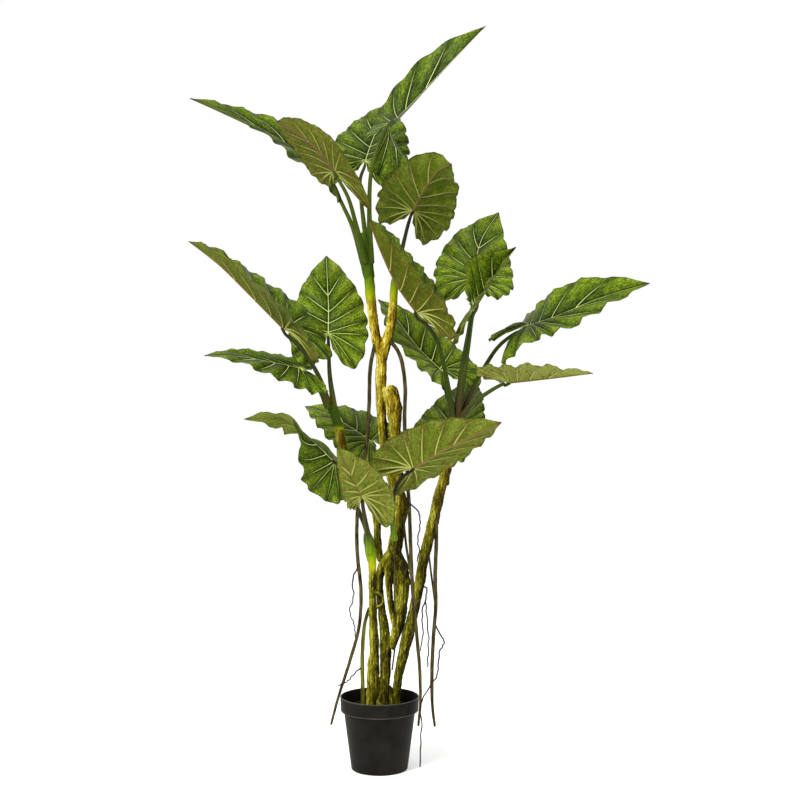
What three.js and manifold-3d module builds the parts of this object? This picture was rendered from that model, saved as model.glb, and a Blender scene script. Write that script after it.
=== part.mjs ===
// A potted colocasia about 1.8 m tall: nineteen leaves on long stalks, woody stems that fork and
// lean on each other, hanging aerial roots, and a round nursery pot with its fill.
// Millimetres, +Z up. The pot's axis is the Z axis, its underside is Z = 0, the front faces -Y.
import * as THREE from "three";
import Module from "manifold-3d";
import { mergeVertices } from "three/addons/utils/BufferGeometryUtils.js";

const wasm = await Module();
wasm.setup();

// Driving dimensions
const CLEARANCE = 0.35; // kept between two pieces that touch on the real plant
const SEAT_CLEARANCE = 0.5; // kept between a stalk's end and the keel that it seats in
const BLADE_THICKNESS = 1.4;
const KEEL_AT_BASE = 5; // depth of the midrib under the blade where the stalk joins it
const KEEL_AT_TIP = 1.6;
const LOBE_LENGTH = 0.31; // how far the lobes reach behind the stalk, in blade lengths
const LOBE_TURN = 0.1; // how far behind the stalk a lobe has its own fold, in blade lengths
const WAVE = 5; // the margin rises and falls by this much between two veins
const QUILT = 2.5; // how far the blade puffs up between two veins
const WAVE_PHASE = 0.6; // radians
const SCALLOP = 0.075; // the margin's scallops, in half widths
const VEIN_BOW = 1.15; // above 1, a vein leaves the midrib steeply and then bows to the tip
const PUFF_TO_MIDRIB = 0.8; // below 1, the puffs are fullest nearer to the midrib
const CALM_TIP = 0.18; // the share of the margin before the tip where waves and puffs die down
const STALK_RADII = [4.5, 4.5, 5.2, 6, 7]; // from the blade down to the stem
const STALK_END = { along: 6, off: 3.5 }; // where a stalk ends in the keel
const STALK_BEND = { along: -11, off: 8 }; // where it comes up behind the blade's base
const STEM_KNOTS = 0.05; // how uneven the stems' skin is, in radii
const STEM_SIDES = 8;
const ROOT_SIDES = 6;
const STALK_SIDES = 6;
const POT = {
  height: 173,
  rimRadius: 94.5,
  bandHeight: 34,
  bandWall: 3,
  bandTaper: 1.5,
  bandStep: 3, // half the height of the step inside, where the wall widens to the band
  lipBevel: 1,
  shoulderRadius: 86,
  baseRadius: 67.5,
  wall: 3,
  floor: 4,
  segments: 32,
};
const FILL = { edgeLevel: 146, moundHeight: 6, moundRadius: 30 };

// The right half of the blade's margin from the sinus to the tip. Each point is [along the midrib
// in blade lengths, out from it in half widths, place on the midrib where its vein starts].
const MARGIN = new THREE.CatmullRomCurve3(
  [
    [-0.15, 0.11, 0],
    [-0.3, 0.4, 0],
    [-0.33, 0.68, 0],
    [-0.2, 0.91, 0],
    [-0.01, 1, 0.02],
    [0.18, 0.98, 0.1],
    [0.38, 0.88, 0.24],
    [0.58, 0.71, 0.42],
    [0.79, 0.42, 0.64],
    [1, 0, 1],
  ].map((p) => new THREE.Vector3(...p)),
  false,
  "catmullrom",
  0.5,
);
const VEIN_GAPS = MARGIN.points.length - 1;
const COLUMNS = 2 * VEIN_GAPS;
const ROWS = 2;

// The leaves. midrib runs from the stalk to the tip, and stalk from just below the blade down to
// the stem. face is the way the upper surface looks. Angles are in degrees, the left half first:
// fold lifts a half from the flat, curl bends it up towards its margin, droop lowers its lobe,
// lobes stretches the lobes, lobeFold is a lobe's own fold, and breadth narrows a half. With
// stalkOver the stalk meets the midrib from above, as on a leaf that is folded back.
const LEAVES = {
  top_left: {
    midrib: [[-157, 125, 1470], [-253, 112, 1533], [-351, 80, 1576], [-461, 30, 1617]],
    face: [0.3, -0.6, 0.74],
    halfWidth: 100,
    fold: [24, 4],
    tipFold: [36, 8],
    curl: [-12, -12],
    droop: [40, 30],
    lobes: [0.75, 1],
    stalk: [[-115, 112, 1410], [-92, 86, 1364], [-65, 46, 1302], [-38, 7, 1210]],
  },
  top_left_front: {
    midrib: [[-103, -94, 1413], [-139, -148, 1454], [-184, -192, 1486], [-224, -240, 1502]],
    face: [-0.1, 1, 0.5],
    halfWidth: 74,
    fold: [70, 52],
    droop: [55, 25],
    lobes: [1.5, 0.4],
    stalk: [[-93, -99, 1395], [-71, -80, 1354], [-53, -46, 1291], [-32, -10, 1210]],
  },
  crown: {
    midrib: [[-37, 80, 1473], [-24, 140, 1527], [-5, 210, 1593], [17, 290, 1663]],
    face: [-0.1, -0.8, 1],
    halfWidth: 105,
    fold: [10, 10],
    droop: [30, 50],
    lobes: [0.8, 0.8],
    stalk: [[-49, 72, 1425], [-46, 56, 1373], [-38, 30, 1306], [-25, 9, 1210]],
  },
  top_right: {
    midrib: [[27, 0, 1550], [73, 10, 1595], [162, 10, 1689], [256, 0, 1783]],
    face: [0.18, -0.97, -0.1],
    halfWidth: 104,
    fold: [-80, -77],
    tipFold: [-15, -86],
    lobeFold: [-78, 10],
    curl: [0, -10],
    droop: [10, 15],
    lobes: [0.6, 1],
    stalkOver: true,
    stalk: [[3, -14, 1509], [-18, -14, 1440], [-24, -12, 1378], [-24, -8, 1301], [-20, -5, 1210]],
  },
  upper_centre: {
    midrib: [[81, 60, 1345], [102, -20, 1376], [135, -110, 1412], [166, -190, 1416]],
    face: [0.1, 1, 0.3],
    halfWidth: 95,
    fold: [15, 10],
    stalk: [[66, 52, 1302], [56, 36, 1259], [44, 16, 1213], [37, 6, 1170]],
  },
  centre_folded: {
    midrib: [[91, -75, 1088], [44, -105, 1150], [8, -145, 1220], [-22, -205, 1292]],
    face: [0.88, 0, 0.47],
    halfWidth: 110,
    fold: [42, 50],
    lobes: [0.75, 0.65],
    stalk: [[114, -70, 1058], [138, -56, 1020], [155, -36, 959], [168, -17, 888], [175, -8, 840]],
  },
  right_upright: {
    midrib: [[230, 70, 1179], [241, 150, 1240], [264, 230, 1308], [310, 300, 1380]],
    face: [0.1, -0.7, 1],
    halfWidth: 97,
    fold: [8, 0],
    curl: [-8, -5],
    droop: [30, 20],
    lobes: [0.75, 0.5],
    stalk: [[228, 66, 1127], [216, 46, 1052], [200, 24, 968], [189, 14, 889], [183, 6, 840]],
  },
  right_cupped: {
    midrib: [[226, -60, 1105], [250, -110, 1142], [277, -170, 1184], [306, -230, 1224]],
    face: [-0.57, -0.7, 0.42],
    halfWidth: 92,
    fold: [10, 40],
    tipFold: [90, 40],
    lobes: [0.4, 1],
    stalk: [[220, -52, 1078], [212, -38, 1015], [202, -24, 944], [193, -13, 884], [188, -8, 840]],
  },
  far_right: {
    midrib: [[357, -20, 1063], [424, -20, 1085], [528, -10, 1128], [650, 0, 1165]],
    face: [-0.3, -0.41, 0.86],
    halfWidth: 110,
    fold: [-8, 12],
    tipFold: [62, 8],
    droop: [20, 60],
    stalk: [[322, -14, 1042], [286, -8, 1013], [258, -2, 973], [225, 2, 913], [196, 2, 846]],
  },
  right_level: {
    midrib: [[305, -40, 927], [362, -110, 932], [422, -180, 938], [476, -240, 944]],
    face: [0, 0.1, 1],
    halfWidth: 84,
    fold: [20, 26],
    curl: [-10, -10],
    droop: [5, 5],
    lobes: [0.8, 0.6],
    stalk: [[294, -34, 922], [263, -30, 905], [231, -22, 882], [207, -14, 858], [189, -6, 826]],
  },
  behind_centre: {
    midrib: [[150, 60, 957], [91, 110, 1018], [46, 170, 1082], [-8, 230, 1145]],
    face: [0, -0.6, 1],
    halfWidth: 92,
    fold: [37, 10],
    lobes: [0.6, 0.8],
    stalk: [[157, 54, 930], [163, 40, 897], [171, 20, 860], [177, 8, 828]],
  },
  behind_right: {
    midrib: [[173, 95, 781], [190, 155, 824], [214, 225, 879], [241, 295, 934]],
    face: [0, -0.6, 1],
    halfWidth: 100,
    fold: [10, 45],
    stalk: [[173, 88, 756], [168, 60, 724], [160, 8, 681]],
  },
  front_right: {
    midrib: [[77, -115, 724], [140, -175, 766], [205, -235, 802], [270, -295, 836]],
    face: [0.1, 0.8, 0.5],
    halfWidth: 88,
    fold: [42, 20],
    stalk: [[56, -107, 707], [40, -90, 680], [32, -66, 644], [31, -42, 600], [36, -20, 548]],
  },
  front_centre: {
    midrib: [[-41, -118, 660], [-54, -152, 694], [-72, -192, 738], [-92, -230, 780]],
    face: [0.1, 1, 0.3],
    halfWidth: 77,
    fold: [0, -25],
    droop: [70, 40],
    lobes: [1.55, 0.5],
    breadth: [1, 0.5],
    stalkOver: true,
    stalk: [[-37, -106, 636], [-31, -78, 598], [-25, -46, 557], [-25, -20, 518]],
  },
  lower_left: {
    midrib: [[-106, -38, 736], [-156, -66, 787], [-220, -84, 837], [-315, -90, 840]],
    face: [-0.3, -0.9, 0.4],
    tipFace: [0, 0.5, 0.8],
    halfWidth: 88,
    fold: [14, -70],
    tipFold: [10, 0],
    lobes: [1, 0.5],
    breadth: [1, 0.8],
    stalkOver: true,
    stalk: [[-93, -40, 717], [-77, -16, 676], [-54, -3, 626], [-32, 0, 573], [-20, -2, 518]],
  },
  behind_left: {
    midrib: [[-20, 85, 781], [-69, 135, 812], [-131, 195, 846], [-199, 255, 868]],
    face: [0, -0.6, 1],
    halfWidth: 85,
    fold: [10, 10],
    lobes: [0.75, 0.75],
    stalk: [[-27, 74, 752], [-36, 50, 709], [-42, 20, 662]],
  },
  left_level: {
    midrib: [[-185, -75, 959], [-250, -125, 972], [-317, -175, 983], [-388, -215, 984]],
    face: [0, -0.9, 0.5],
    halfWidth: 85,
    fold: [22, -36],
    tipFold: [45, -36],
    curl: [-10, -5],
    lobes: [0.7, 0.9],
    stalk: [[-165, -62, 936], [-141, -34, 906], [-125, -1, 866]],
  },
  upper_left: {
    midrib: [[-220, -80, 1050], [-300, -80, 1130], [-375, -60, 1202], [-453, -30, 1262]],
    face: [0.68, 0, 0.74],
    halfWidth: 110,
    fold: [25, 44],
    tipFold: [28, 26],
    stalk: [[-193, -66, 1016], [-167, -42, 981], [-142, -8, 932], [-121, 15, 866]],
  },
  heart_left: {
    midrib: [[-125, 26, 1045], [-126, 54, 1110], [-132, 110, 1179], [-139, 190, 1253]],
    face: [0, -1, 0.3],
    halfWidth: 95,
    fold: [5, 5],
    droop: [45, 10],
    stalk: [[-124, 34, 998], [-121, 22, 944], [-110, 8, 866]],
  },
};
const LEAF_DEFAULTS = {
  fold: [15, 15],
  curl: [-15, -15],
  droop: [20, 20],
  lobes: [1, 1],
  breadth: [1, 1],
};

// The woody stems. Each branch is a route and its radii from end to end, spread evenly along it.
const STEMS = {
  stem_centre: [
    {
      radii: [12, 12, 12, 12, 13, 12, 11, 12, 16, 16, 19],
      route: [
        [-28, 0, 1222], [-23, 0, 1148], [-16, 0, 1081], [-9, 0, 1035], [3, 0, 987],
        [3, 0, 908], [8, 0, 812], [20, 0, 728], [49, 0, 644], [44, 0, 572], [32, 0, 509],
      ],
    },
    {
      radii: [17, 10, 9, 10, 12.5, 13.5, 12, 11, 12],
      route: [
        [35, 0, 519], [5, 2, 480], [0, 4, 430], [4, 4, 385], [11, 4, 335], [14, 2, 285],
        [14, 0, 235], [12, 0, 180], [11, 0, 110],
      ],
    },
    {
      radii: [10, 10, 11, 12, 12],
      route: [[37, 4, 1180], [32, 4, 1113], [27, 3, 1064], [15, 0, 1016], [3, 0, 971]],
    },
    {
      radii: [14, 19, 16, 13, 15, 12, 6],
      route: [
        [38, 0, 523], [55, -2, 462], [57, -4, 425], [52, -6, 380], [44, -8, 342],
        [36, -10, 308], [31, -10, 284],
      ],
    },
    {
      radii: [12, 9, 8, 7, 7],
      route: [[28, -2, 510], [22, -8, 462], [25, -12, 408], [32, -14, 360], [42, -12, 334]],
    },
    {
      radii: [17, 19, 13, 12, 12],
      route: [[24, -14, 920], [32, -14, 884], [37, -12, 841], [39, -8, 776], [47, 0, 680]],
    },
  ],
  stem_side: [
    {
      radii: [12, 11, 10, 10, 10, 9, 8.5, 8.5],
      route: [
        [-117, 10, 876], [-101, 12, 824], [-89, 14, 768], [-66, 16, 710], [-32, 15, 656],
        [-9, 12, 606], [-5, 9, 552], [2, 5, 492],
      ],
    },
  ],
  stem_left: [
    {
      radii: [11, 9, 9, 11, 11.5, 14.5, 16, 15],
      route: [
        [-19, -10, 526], [-17, -10, 470], [-17, -10, 415], [-15, -12, 350], [-13, -13, 290],
        [-15, -15, 235], [-16, -15, 180], [-17, -15, 110],
      ],
    },
  ],
  stem_right: [
    {
      radii: [17, 13, 12, 13, 13, 12.5, 13, 12, 14.4, 12, 10, 10],
      route: [
        [186, 0, 850], [179, 0, 797], [162, 0, 725], [140, 0, 644], [126, 0, 579],
        [109, 0, 516], [98, 2, 451], [84, 4, 384], [68, 6, 320], [54, 8, 262], [43, 10, 204],
        [36, 11, 110],
      ],
    },
  ],
};

// The aerial roots, thick ones that hang from the stems and thin ones that leave them.
const ROOTS = {
  root_left: [
    {
      radii: [4.6, 4.6, 4.5, 4.3, 4, 3],
      route: [
        [-10, -4, 1022], [-22, -16, 961], [-25, -18, 870], [-30, -16, 789], [-44, -11, 693],
        [-53, -14, 610], [-53, -25, 522], [-44, -30, 427], [-49, -32, 342], [-72, -34, 257],
        [-98, -36, 176], [-115, -36, 112],
      ],
    },
    {
      radii: [1.5, 1.2, 1.1],
      sides: 4,
      route: [
        [-50, -30, 492], [-63, -32, 456], [-62, -32, 413], [-70, -34, 380], [-60, -33, 349],
        [-57, -30, 318],
      ],
    },
  ],
  root_centre: [
    {
      radii: [4.6, 4.6, 4.6, 4.5, 4.2, 3.1],
      route: [
        [20, -4, 1034], [49, -6, 990], [61, -10, 920], [60, -10, 824], [66, -9, 717],
        [72, -22, 610], [75, -34, 513], [80, -40, 418], [89, -46, 325], [96, -52, 241],
        [97, -56, 171], [92, -56, 114],
      ],
    },
    {
      radii: [2.9, 2.9, 2.9],
      sides: 5,
      route: [[57, -12, 600], [65, -26, 528], [76, -37, 465]],
    },
    {
      radii: [1.5, 1.2, 1.1],
      sides: 4,
      route: [
        [71, -27, 639], [92, -26, 619], [97, -25, 591], [91, -26, 550], [95, -26, 527],
        [90, -28, 498],
      ],
    },
  ],
  root_right: [
    {
      radii: [4.6, 4.6, 4.6, 4.5, 4.2, 3.1],
      route: [
        [136, -4, 640], [136, -16, 549], [133, -22, 466], [134, -26, 393], [128, -29, 312],
        [125, -30, 230], [126, -30, 161], [132, -30, 106],
      ],
    },
    {
      radii: [2.4, 2.4, 2.4],
      sides: 5,
      route: [[116, -6, 534], [124, -16, 465], [133, -25, 397]],
    },
    {
      radii: [1.5, 1.3, 1.2],
      sides: 4,
      route: [
        [131, -28, 355], [144, -30, 327], [154, -32, 308], [142, -35, 282], [139, -38, 238],
        [120, -44, 203], [100, -64, 175], [99, -66, 105], [96, -64, 20],
      ],
    },
  ],
  root_prop: [
    {
      radii: [3.8, 4.6, 5, 5],
      route: [[-24, -12, 388], [-36, -18, 345], [-41, -20, 270], [-40, -20, 191], [-40, -20, 110]],
    },
    {
      radii: [1.5, 1.2, 1.1],
      sides: 4,
      route: [[-41, -20, 249], [-61, -34, 231], [-77, -47, 216], [-98, -47, 207]],
    },
  ],
};

const MATERIALS = {
  blade: { color: 0x4f7a1c, roughness: 0.55 },
  stalk: { color: 0x4f6b30, roughness: 0.5 },
  stem: { color: 0x8a8a22, roughness: 0.85 },
  root: { color: 0x55482f, roughness: 0.85 },
  pot: { color: 0x26251f, roughness: 0.6 },
  fill: { color: 0x17140f, roughness: 0.95 },
};

const vector = (p) => new THREE.Vector3(...p);
const curveOf = (points) =>
  new THREE.CatmullRomCurve3(points.map(vector), false, "catmullrom", 0.5);
const mix = (pair, t) => pair[0] + (pair[1] - pair[0]) * t;

// A closed solid from a list of corner points and a list of triangles
function solidOf(points, triangles) {
  const geometry = new THREE.BufferGeometry();
  const corners = triangles.flat().flatMap((i) => points[i].toArray());
  geometry.setAttribute("position", new THREE.Float32BufferAttribute(corners, 3));
  return solidOfGeometry(geometry);
}

function solidOfGeometry(geometry) {
  geometry.deleteAttribute("normal");
  geometry.deleteAttribute("uv");
  const merged = mergeVertices(geometry, 1e-4);
  const vertProperties = merged.attributes.position.array;
  const triVerts = new Uint32Array(merged.index.array);
  return new wasm.Manifold(new wasm.Mesh({ numProp: 3, vertProperties, triVerts }));
}

// The largest body that a cut leaves
function largestBody(solid) {
  return solid.decompose().reduce((a, b) => (b.volume() > a.volume() ? b : a));
}

function meshOf(name, solid, material) {
  const made = solid.getMesh();
  const geometry = new THREE.BufferGeometry();
  geometry.setAttribute("position", new THREE.BufferAttribute(made.vertProperties, 3));
  geometry.setIndex(new THREE.BufferAttribute(made.triVerts, 1));
  geometry.computeVertexNormals();
  const mesh = new THREE.Mesh(geometry, new THREE.MeshStandardMaterial(MATERIALS[material]));
  mesh.name = name;
  return mesh;
}

// The midrib's place and directions at s, from 0 at the stalk to 1 at the tip
function midribFrame(leaf, s) {
  const along = leaf.curve.getTangent(s);
  const up = vector(leaf.face).lerp(vector(leaf.tipFace), s);
  up.addScaledVector(along, -up.dot(along)).normalize();
  const out = new THREE.Vector3().crossVectors(along, up);
  return { place: leaf.curve.getPoint(s), along, up, out };
}

// A point of the upper surface: u runs along the margin from the sinus to the tip, v from the
// midrib out to the margin, and side is 1 on the right half and -1 on the left.
function bladePoint(leaf, side, u, v) {
  const half = side > 0 ? 1 : 0;
  const vein = u * VEIN_GAPS;
  const rim = MARGIN.getPoint(u);
  const start = THREE.MathUtils.clamp(rim.z, 0, 1);
  const fade = Math.min(1, (1 - u) / CALM_TIP) * Math.min(1, 0.3 + u * 6);
  const scallop = 1 + SCALLOP * (Math.abs(Math.cos(Math.PI * vein)) - 0.7) * fade;
  let x = start + (rim.x - start) * v ** VEIN_BOW * scallop;
  if (x < 0) x *= leaf.lobes[half];
  const w = rim.y * v * scallop;
  const s = THREE.MathUtils.clamp(x, 0, 1);
  const { place, along, up, out } = midribFrame(leaf, s);

  // Across the half: an arc that starts at the fold's angle and bends by the curl.
  const turned = THREE.MathUtils.clamp(-x / (LOBE_TURN * leaf.lobes[half]), 0, 1);
  const bladeFold = mix([leaf.fold[half], leaf.tipFold[half]], s);
  const lobeFold = leaf.lobeFold[half] - leaf.fold[half];
  const fold = THREE.MathUtils.degToRad(bladeFold + lobeFold * turned);
  const curl = THREE.MathUtils.degToRad(leaf.curl[half] || 0.01);
  const arc = (leaf.halfWidth * leaf.breadth[half]) / curl;
  const across = arc * (Math.sin(fold + curl * w) - Math.sin(fold));
  const rise = arc * (Math.cos(fold) - Math.cos(fold + curl * w));

  // Behind the stalk: an arc that bends down by the droop.
  const back = Math.max(0, -x) * leaf.length;
  const droop = THREE.MathUtils.degToRad(leaf.droop[half] || 0.01);
  const bend = droop / (LOBE_LENGTH * leaf.length * leaf.lobes[half]);
  place.addScaledVector(along, -Math.sin(bend * back) / bend);
  place.addScaledVector(up, -(1 - Math.cos(bend * back)) / bend);
  const lift = up.clone().multiplyScalar(Math.cos(bend * back));
  lift.addScaledVector(along, -Math.sin(bend * back));

  const wave = WAVE * v * v * Math.cos(2 * Math.PI * vein + WAVE_PHASE) * fade;
  const fullness = Math.sin(Math.PI * v ** PUFF_TO_MIDRIB);
  const puff = QUILT * Math.abs(Math.sin(Math.PI * vein)) * fullness * fade;
  place.addScaledVector(out, side * across);
  return place.addScaledVector(lift, rise - wave + puff);
}

// The blade's upper surface as shared points, with the depth of blade under each, and triangles
function bladeSheet(leaf) {
  const points = [];
  const depths = [];
  const triangles = [];
  const known = new Map();
  const pointAt = (side, i, j) => {
    const u = i / COLUMNS;
    const point = bladePoint(leaf, side, u, j / ROWS);
    const key = point.toArray().map((c) => c.toFixed(3)).join();
    if (!known.has(key)) {
      const s = THREE.MathUtils.clamp(MARGIN.getPoint(u).z, 0, 1);
      known.set(key, points.length);
      points.push(point);
      depths.push(j === 0 ? mix([KEEL_AT_BASE, KEEL_AT_TIP], s) : BLADE_THICKNESS);
    }
    return known.get(key);
  };
  for (const side of [-1, 1]) {
    for (let i = 0; i < COLUMNS; i++) {
      for (let j = 0; j < ROWS; j++) {
        const [a, b, c, d] = [
          pointAt(side, i, j),
          pointAt(side, i + 1, j),
          pointAt(side, i + 1, j + 1),
          pointAt(side, i, j + 1),
        ];
        for (const corners of [[a, b, c], [a, c, d]]) {
          if (new Set(corners).size < 3) continue;
          triangles.push(side < 0 ? corners : corners.reverse());
        }
      }
    }
  }
  return { points, depths, triangles };
}

// A sheet made solid downwards, moved by a shift
function thicken({ points, depths, triangles }, shift = new THREE.Vector3()) {
  const normals = points.map(() => new THREE.Vector3());
  const edges = new Map();
  for (const [a, b, c] of triangles) {
    const normal = new THREE.Triangle(points[a], points[b], points[c]).getNormal(new THREE.Vector3());
    for (const [from, to] of [[a, b], [b, c], [c, a]]) {
      normals[from].add(normal);
      if (!edges.delete(`${to},${from}`)) edges.set(`${from},${to}`, [from, to]);
    }
  }
  normals.forEach((n) => n.normalize());
  const count = points.length;
  const upper = points.map((p) => p.clone().add(shift));
  const lower = upper.map((p, i) => p.clone().addScaledVector(normals[i], -depths[i]));
  const walls = [...edges.values()].flatMap(([from, to]) => [
    [from, from + count, to + count],
    [from, to + count, to],
  ]);
  const underside = triangles.map(([a, b, c]) => [c + count, b + count, a + count]);
  return solidOf([...upper, ...lower], [...triangles, ...underside, ...walls]);
}

// The blade with clearance at its stalk end: the blade, and copies moved to the stalk and back
function bladeCutter(leaf, sheet) {
  const { along, up } = midribFrame(leaf, 0);
  const away = leaf.stalkOver ? up.negate() : up;
  const shifts = [along, away].map((way) => way.multiplyScalar(-SEAT_CLEARANCE));
  return shifts.reduce((all, shift) => all.add(thicken(sheet, shift)), thicken(sheet));
}

// A closed round branch along a route. knots makes its skin uneven, and grow makes it larger.
function branch({ route, radii, sides, knots = 0 }, grow = 0) {
  const curve = curveOf(route);
  const steps = 2 * (route.length - 1);
  const frames = curve.computeFrenetFrames(steps, false);
  const points = [];
  const triangles = [];
  for (let i = 0; i <= steps; i++) {
    const t = i / steps;
    const at = t * (radii.length - 1);
    const leg = Math.min(Math.floor(at), radii.length - 2);
    const radius = mix([radii[leg], radii[leg + 1]], at - leg);
    const centre = curve.getPointAt(t);
    if (i === 0) centre.addScaledVector(frames.tangents[0], -grow);
    if (i === steps) centre.addScaledVector(frames.tangents[steps], grow);
    for (let j = 0; j < sides; j++) {
      const angle = (2 * Math.PI * j) / sides;
      const uneven = 1 + knots * (Math.sin(3 * angle + 1.9 * i) + Math.sin(2 * angle - 2.7 * i));
      const reach = radius * uneven + grow;
      points.push(
        centre
          .clone()
          .addScaledVector(frames.normals[i], reach * Math.cos(angle))
          .addScaledVector(frames.binormals[i], reach * Math.sin(angle)),
      );
      if (i === steps) continue;
      const [a, b] = [i * sides + j, i * sides + ((j + 1) % sides)];
      triangles.push([a, b, b + sides], [a, b + sides, a + sides]);
    }
  }
  for (let j = 1; j < sides - 1; j++) {
    const last = steps * sides;
    triangles.push([0, j + 1, j], [last, last + j, last + j + 1]);
  }
  return solidOf(points, triangles);
}

// Branches fused into one solid. One with its own number of sides is a smooth thin wire.
function branchGroup(parts, usual, grow = 0) {
  const solids = parts.map((part) => branch(part.sides ? part : { ...part, ...usual }, grow));
  return solids.reduce((all, one) => all.add(one));
}

const plant = new THREE.Group();
plant.name = "potted_colocasia";
const cutters = []; // the enlarged form of each piece that later pieces keep clear of

function overlaps(a, b) {
  const [p, q] = [a.boundingBox(), b.boundingBox()];
  return [0, 1, 2].every((k) => p.min[k] < q.max[k] && q.min[k] < p.max[k]);
}

// Adds a piece, cut clear of the pieces that were placed before it
function place(name, material, solid, enlarged) {
  let cut = solid;
  for (const cutter of cutters) {
    if (overlaps(cut, cutter)) cut = cut.subtract(cutter);
  }
  plant.add(meshOf(name, largestBody(cut), material));
  if (enlarged) cutters.push(enlarged);
}

function addBranches(groups, material, usual) {
  for (const [name, parts] of Object.entries(groups)) {
    place(name, material, branchGroup(parts, usual), branchGroup(parts, usual, CLEARANCE));
  }
}

// The stalk comes up behind the blade's base and ends in its keel.
function stalkRoute(leaf) {
  const { place: base, along, up } = midribFrame(leaf, 0);
  const side = leaf.stalkOver ? 1 : -1;
  const top = [STALK_END, STALK_BEND].map((at) =>
    base.clone().addScaledVector(along, at.along).addScaledVector(up, side * at.off).toArray(),
  );
  return [...top, ...leaf.stalk];
}

function addLeaves() {
  for (const [name, given] of Object.entries(LEAVES)) {
    const leaf = { ...LEAF_DEFAULTS, ...given };
    leaf.tipFold ??= leaf.fold;
    leaf.lobeFold ??= leaf.fold;
    leaf.tipFace ??= leaf.face;
    leaf.curve = curveOf(leaf.midrib);
    leaf.length = leaf.curve.getLength();
    const sheet = bladeSheet(leaf);
    plant.add(meshOf(`leaf_blade_${name}`, thicken(sheet), "blade"));
    const stalk = { route: stalkRoute(leaf), radii: STALK_RADII, sides: STALK_SIDES };
    const clear = branch(stalk).subtract(bladeCutter(leaf, sheet));
    place(`leaf_stalk_${name}`, "stalk", clear, branch(stalk, CLEARANCE));
  }
}

function latheSolid(profile) {
  const points = profile.map(([radius, height]) => new THREE.Vector2(radius, height));
  const geometry = new THREE.LatheGeometry(points, POT.segments);
  geometry.rotateX(Math.PI / 2);
  return solidOfGeometry(geometry);
}

function potWallRadius(z) {
  return mix([POT.baseRadius, POT.shoulderRadius], z / (POT.height - POT.bandHeight)) - POT.wall;
}

function addPot() {
  const bandFoot = POT.height - POT.bandHeight;
  const inside = POT.rimRadius - POT.bandWall;
  const pot = latheSolid([
    [0, 0],
    [POT.baseRadius, 0],
    [POT.shoulderRadius, bandFoot],
    [POT.rimRadius - POT.bandTaper, bandFoot],
    [POT.rimRadius, POT.height - POT.lipBevel],
    [POT.rimRadius - POT.lipBevel, POT.height],
    [inside, POT.height],
    [inside - POT.bandTaper, bandFoot + POT.bandStep],
    [potWallRadius(bandFoot), bandFoot - POT.bandStep],
    [potWallRadius(POT.floor), POT.floor],
    [0, POT.floor],
  ]);
  place("pot", "pot", pot, null);
}

// The fill stands just clear of the pot's wall, and its top is a low mound round the stems.
function addFill() {
  const foot = POT.floor + CLEARANCE;
  const shoulder = POT.height - POT.bandHeight - POT.bandStep;
  const shoulderRadius = potWallRadius(shoulder) - CLEARANCE;
  const fill = latheSolid([
    [0, foot],
    [potWallRadius(foot) - CLEARANCE, foot],
    [shoulderRadius, shoulder],
    [shoulderRadius, FILL.edgeLevel],
    [FILL.moundRadius, FILL.edgeLevel + FILL.moundHeight],
    [0, FILL.edgeLevel + FILL.moundHeight],
  ]);
  place("fill", "fill", fill, null);
}

addBranches(STEMS, "stem", { sides: STEM_SIDES, knots: STEM_KNOTS });
addBranches(ROOTS, "root", { sides: ROOT_SIDES });
addPot();
addFill();
addLeaves();

export default plant;
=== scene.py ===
"""The looks of a potted colocasia about 1.8 m tall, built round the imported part.

Sizes are in millimetres until a mesh is made, and in metres in the scene. +Z is up, the pot's axis
is the Z axis, its underside is Z = 0 and the front faces -Y.
"""
import logging
import math
from dataclasses import dataclass
from enum import Enum

import bpy
import numpy as np
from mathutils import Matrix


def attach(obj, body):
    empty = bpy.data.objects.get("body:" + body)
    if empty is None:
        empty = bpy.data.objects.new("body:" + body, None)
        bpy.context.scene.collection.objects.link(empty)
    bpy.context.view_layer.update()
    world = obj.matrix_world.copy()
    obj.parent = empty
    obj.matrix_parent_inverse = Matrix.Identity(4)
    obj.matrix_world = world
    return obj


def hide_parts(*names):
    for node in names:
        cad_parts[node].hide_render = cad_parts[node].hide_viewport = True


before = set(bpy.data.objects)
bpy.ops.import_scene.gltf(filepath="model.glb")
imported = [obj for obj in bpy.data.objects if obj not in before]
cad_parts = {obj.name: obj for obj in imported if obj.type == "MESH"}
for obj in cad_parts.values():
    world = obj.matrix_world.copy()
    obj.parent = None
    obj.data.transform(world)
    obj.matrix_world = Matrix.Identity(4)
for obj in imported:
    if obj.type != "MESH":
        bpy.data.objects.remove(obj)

LOG = logging.getLogger("potted_colocasia")
MM = 0.001
BODY = "root"

Array = np.ndarray
Point = tuple[float, float, float]
Tree = bpy.types.NodeTree
Socket = bpy.types.NodeSocket
Material = bpy.types.Material
Mesh = bpy.types.Mesh

SAME_PLACE_DIGITS = 3
LEG_SAMPLES = 40
FEWEST_STEPS = 8
CAP_RINGS = 5
LONGEST_CAP = 0.45
TUBE_WAVES = ((2, 17, 29, 1.0), (3, -11, 13, 1.0), (1, 23, 41, 0.7))


def linear(hex_colour: str) -> tuple[float, float, float, float]:
    """Turns an sRGB hex colour into linear light.

    Each channel c is c / 12.92 up to 0.04045, and ((c + 0.055) / 1.055) to the power 2.4 above it.

    Args:
        hex_colour: six hex digits after a hash sign.

    Returns:
        Red, green, blue and an alpha of 1.
    """
    channels = [int(hex_colour[i : i + 2], 16) / 255 for i in (1, 3, 5)]
    curved = [c / 12.92 if c <= 0.04045 else ((c + 0.055) / 1.055) ** 2.4 for c in channels]
    return (*curved, 1.0)


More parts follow.
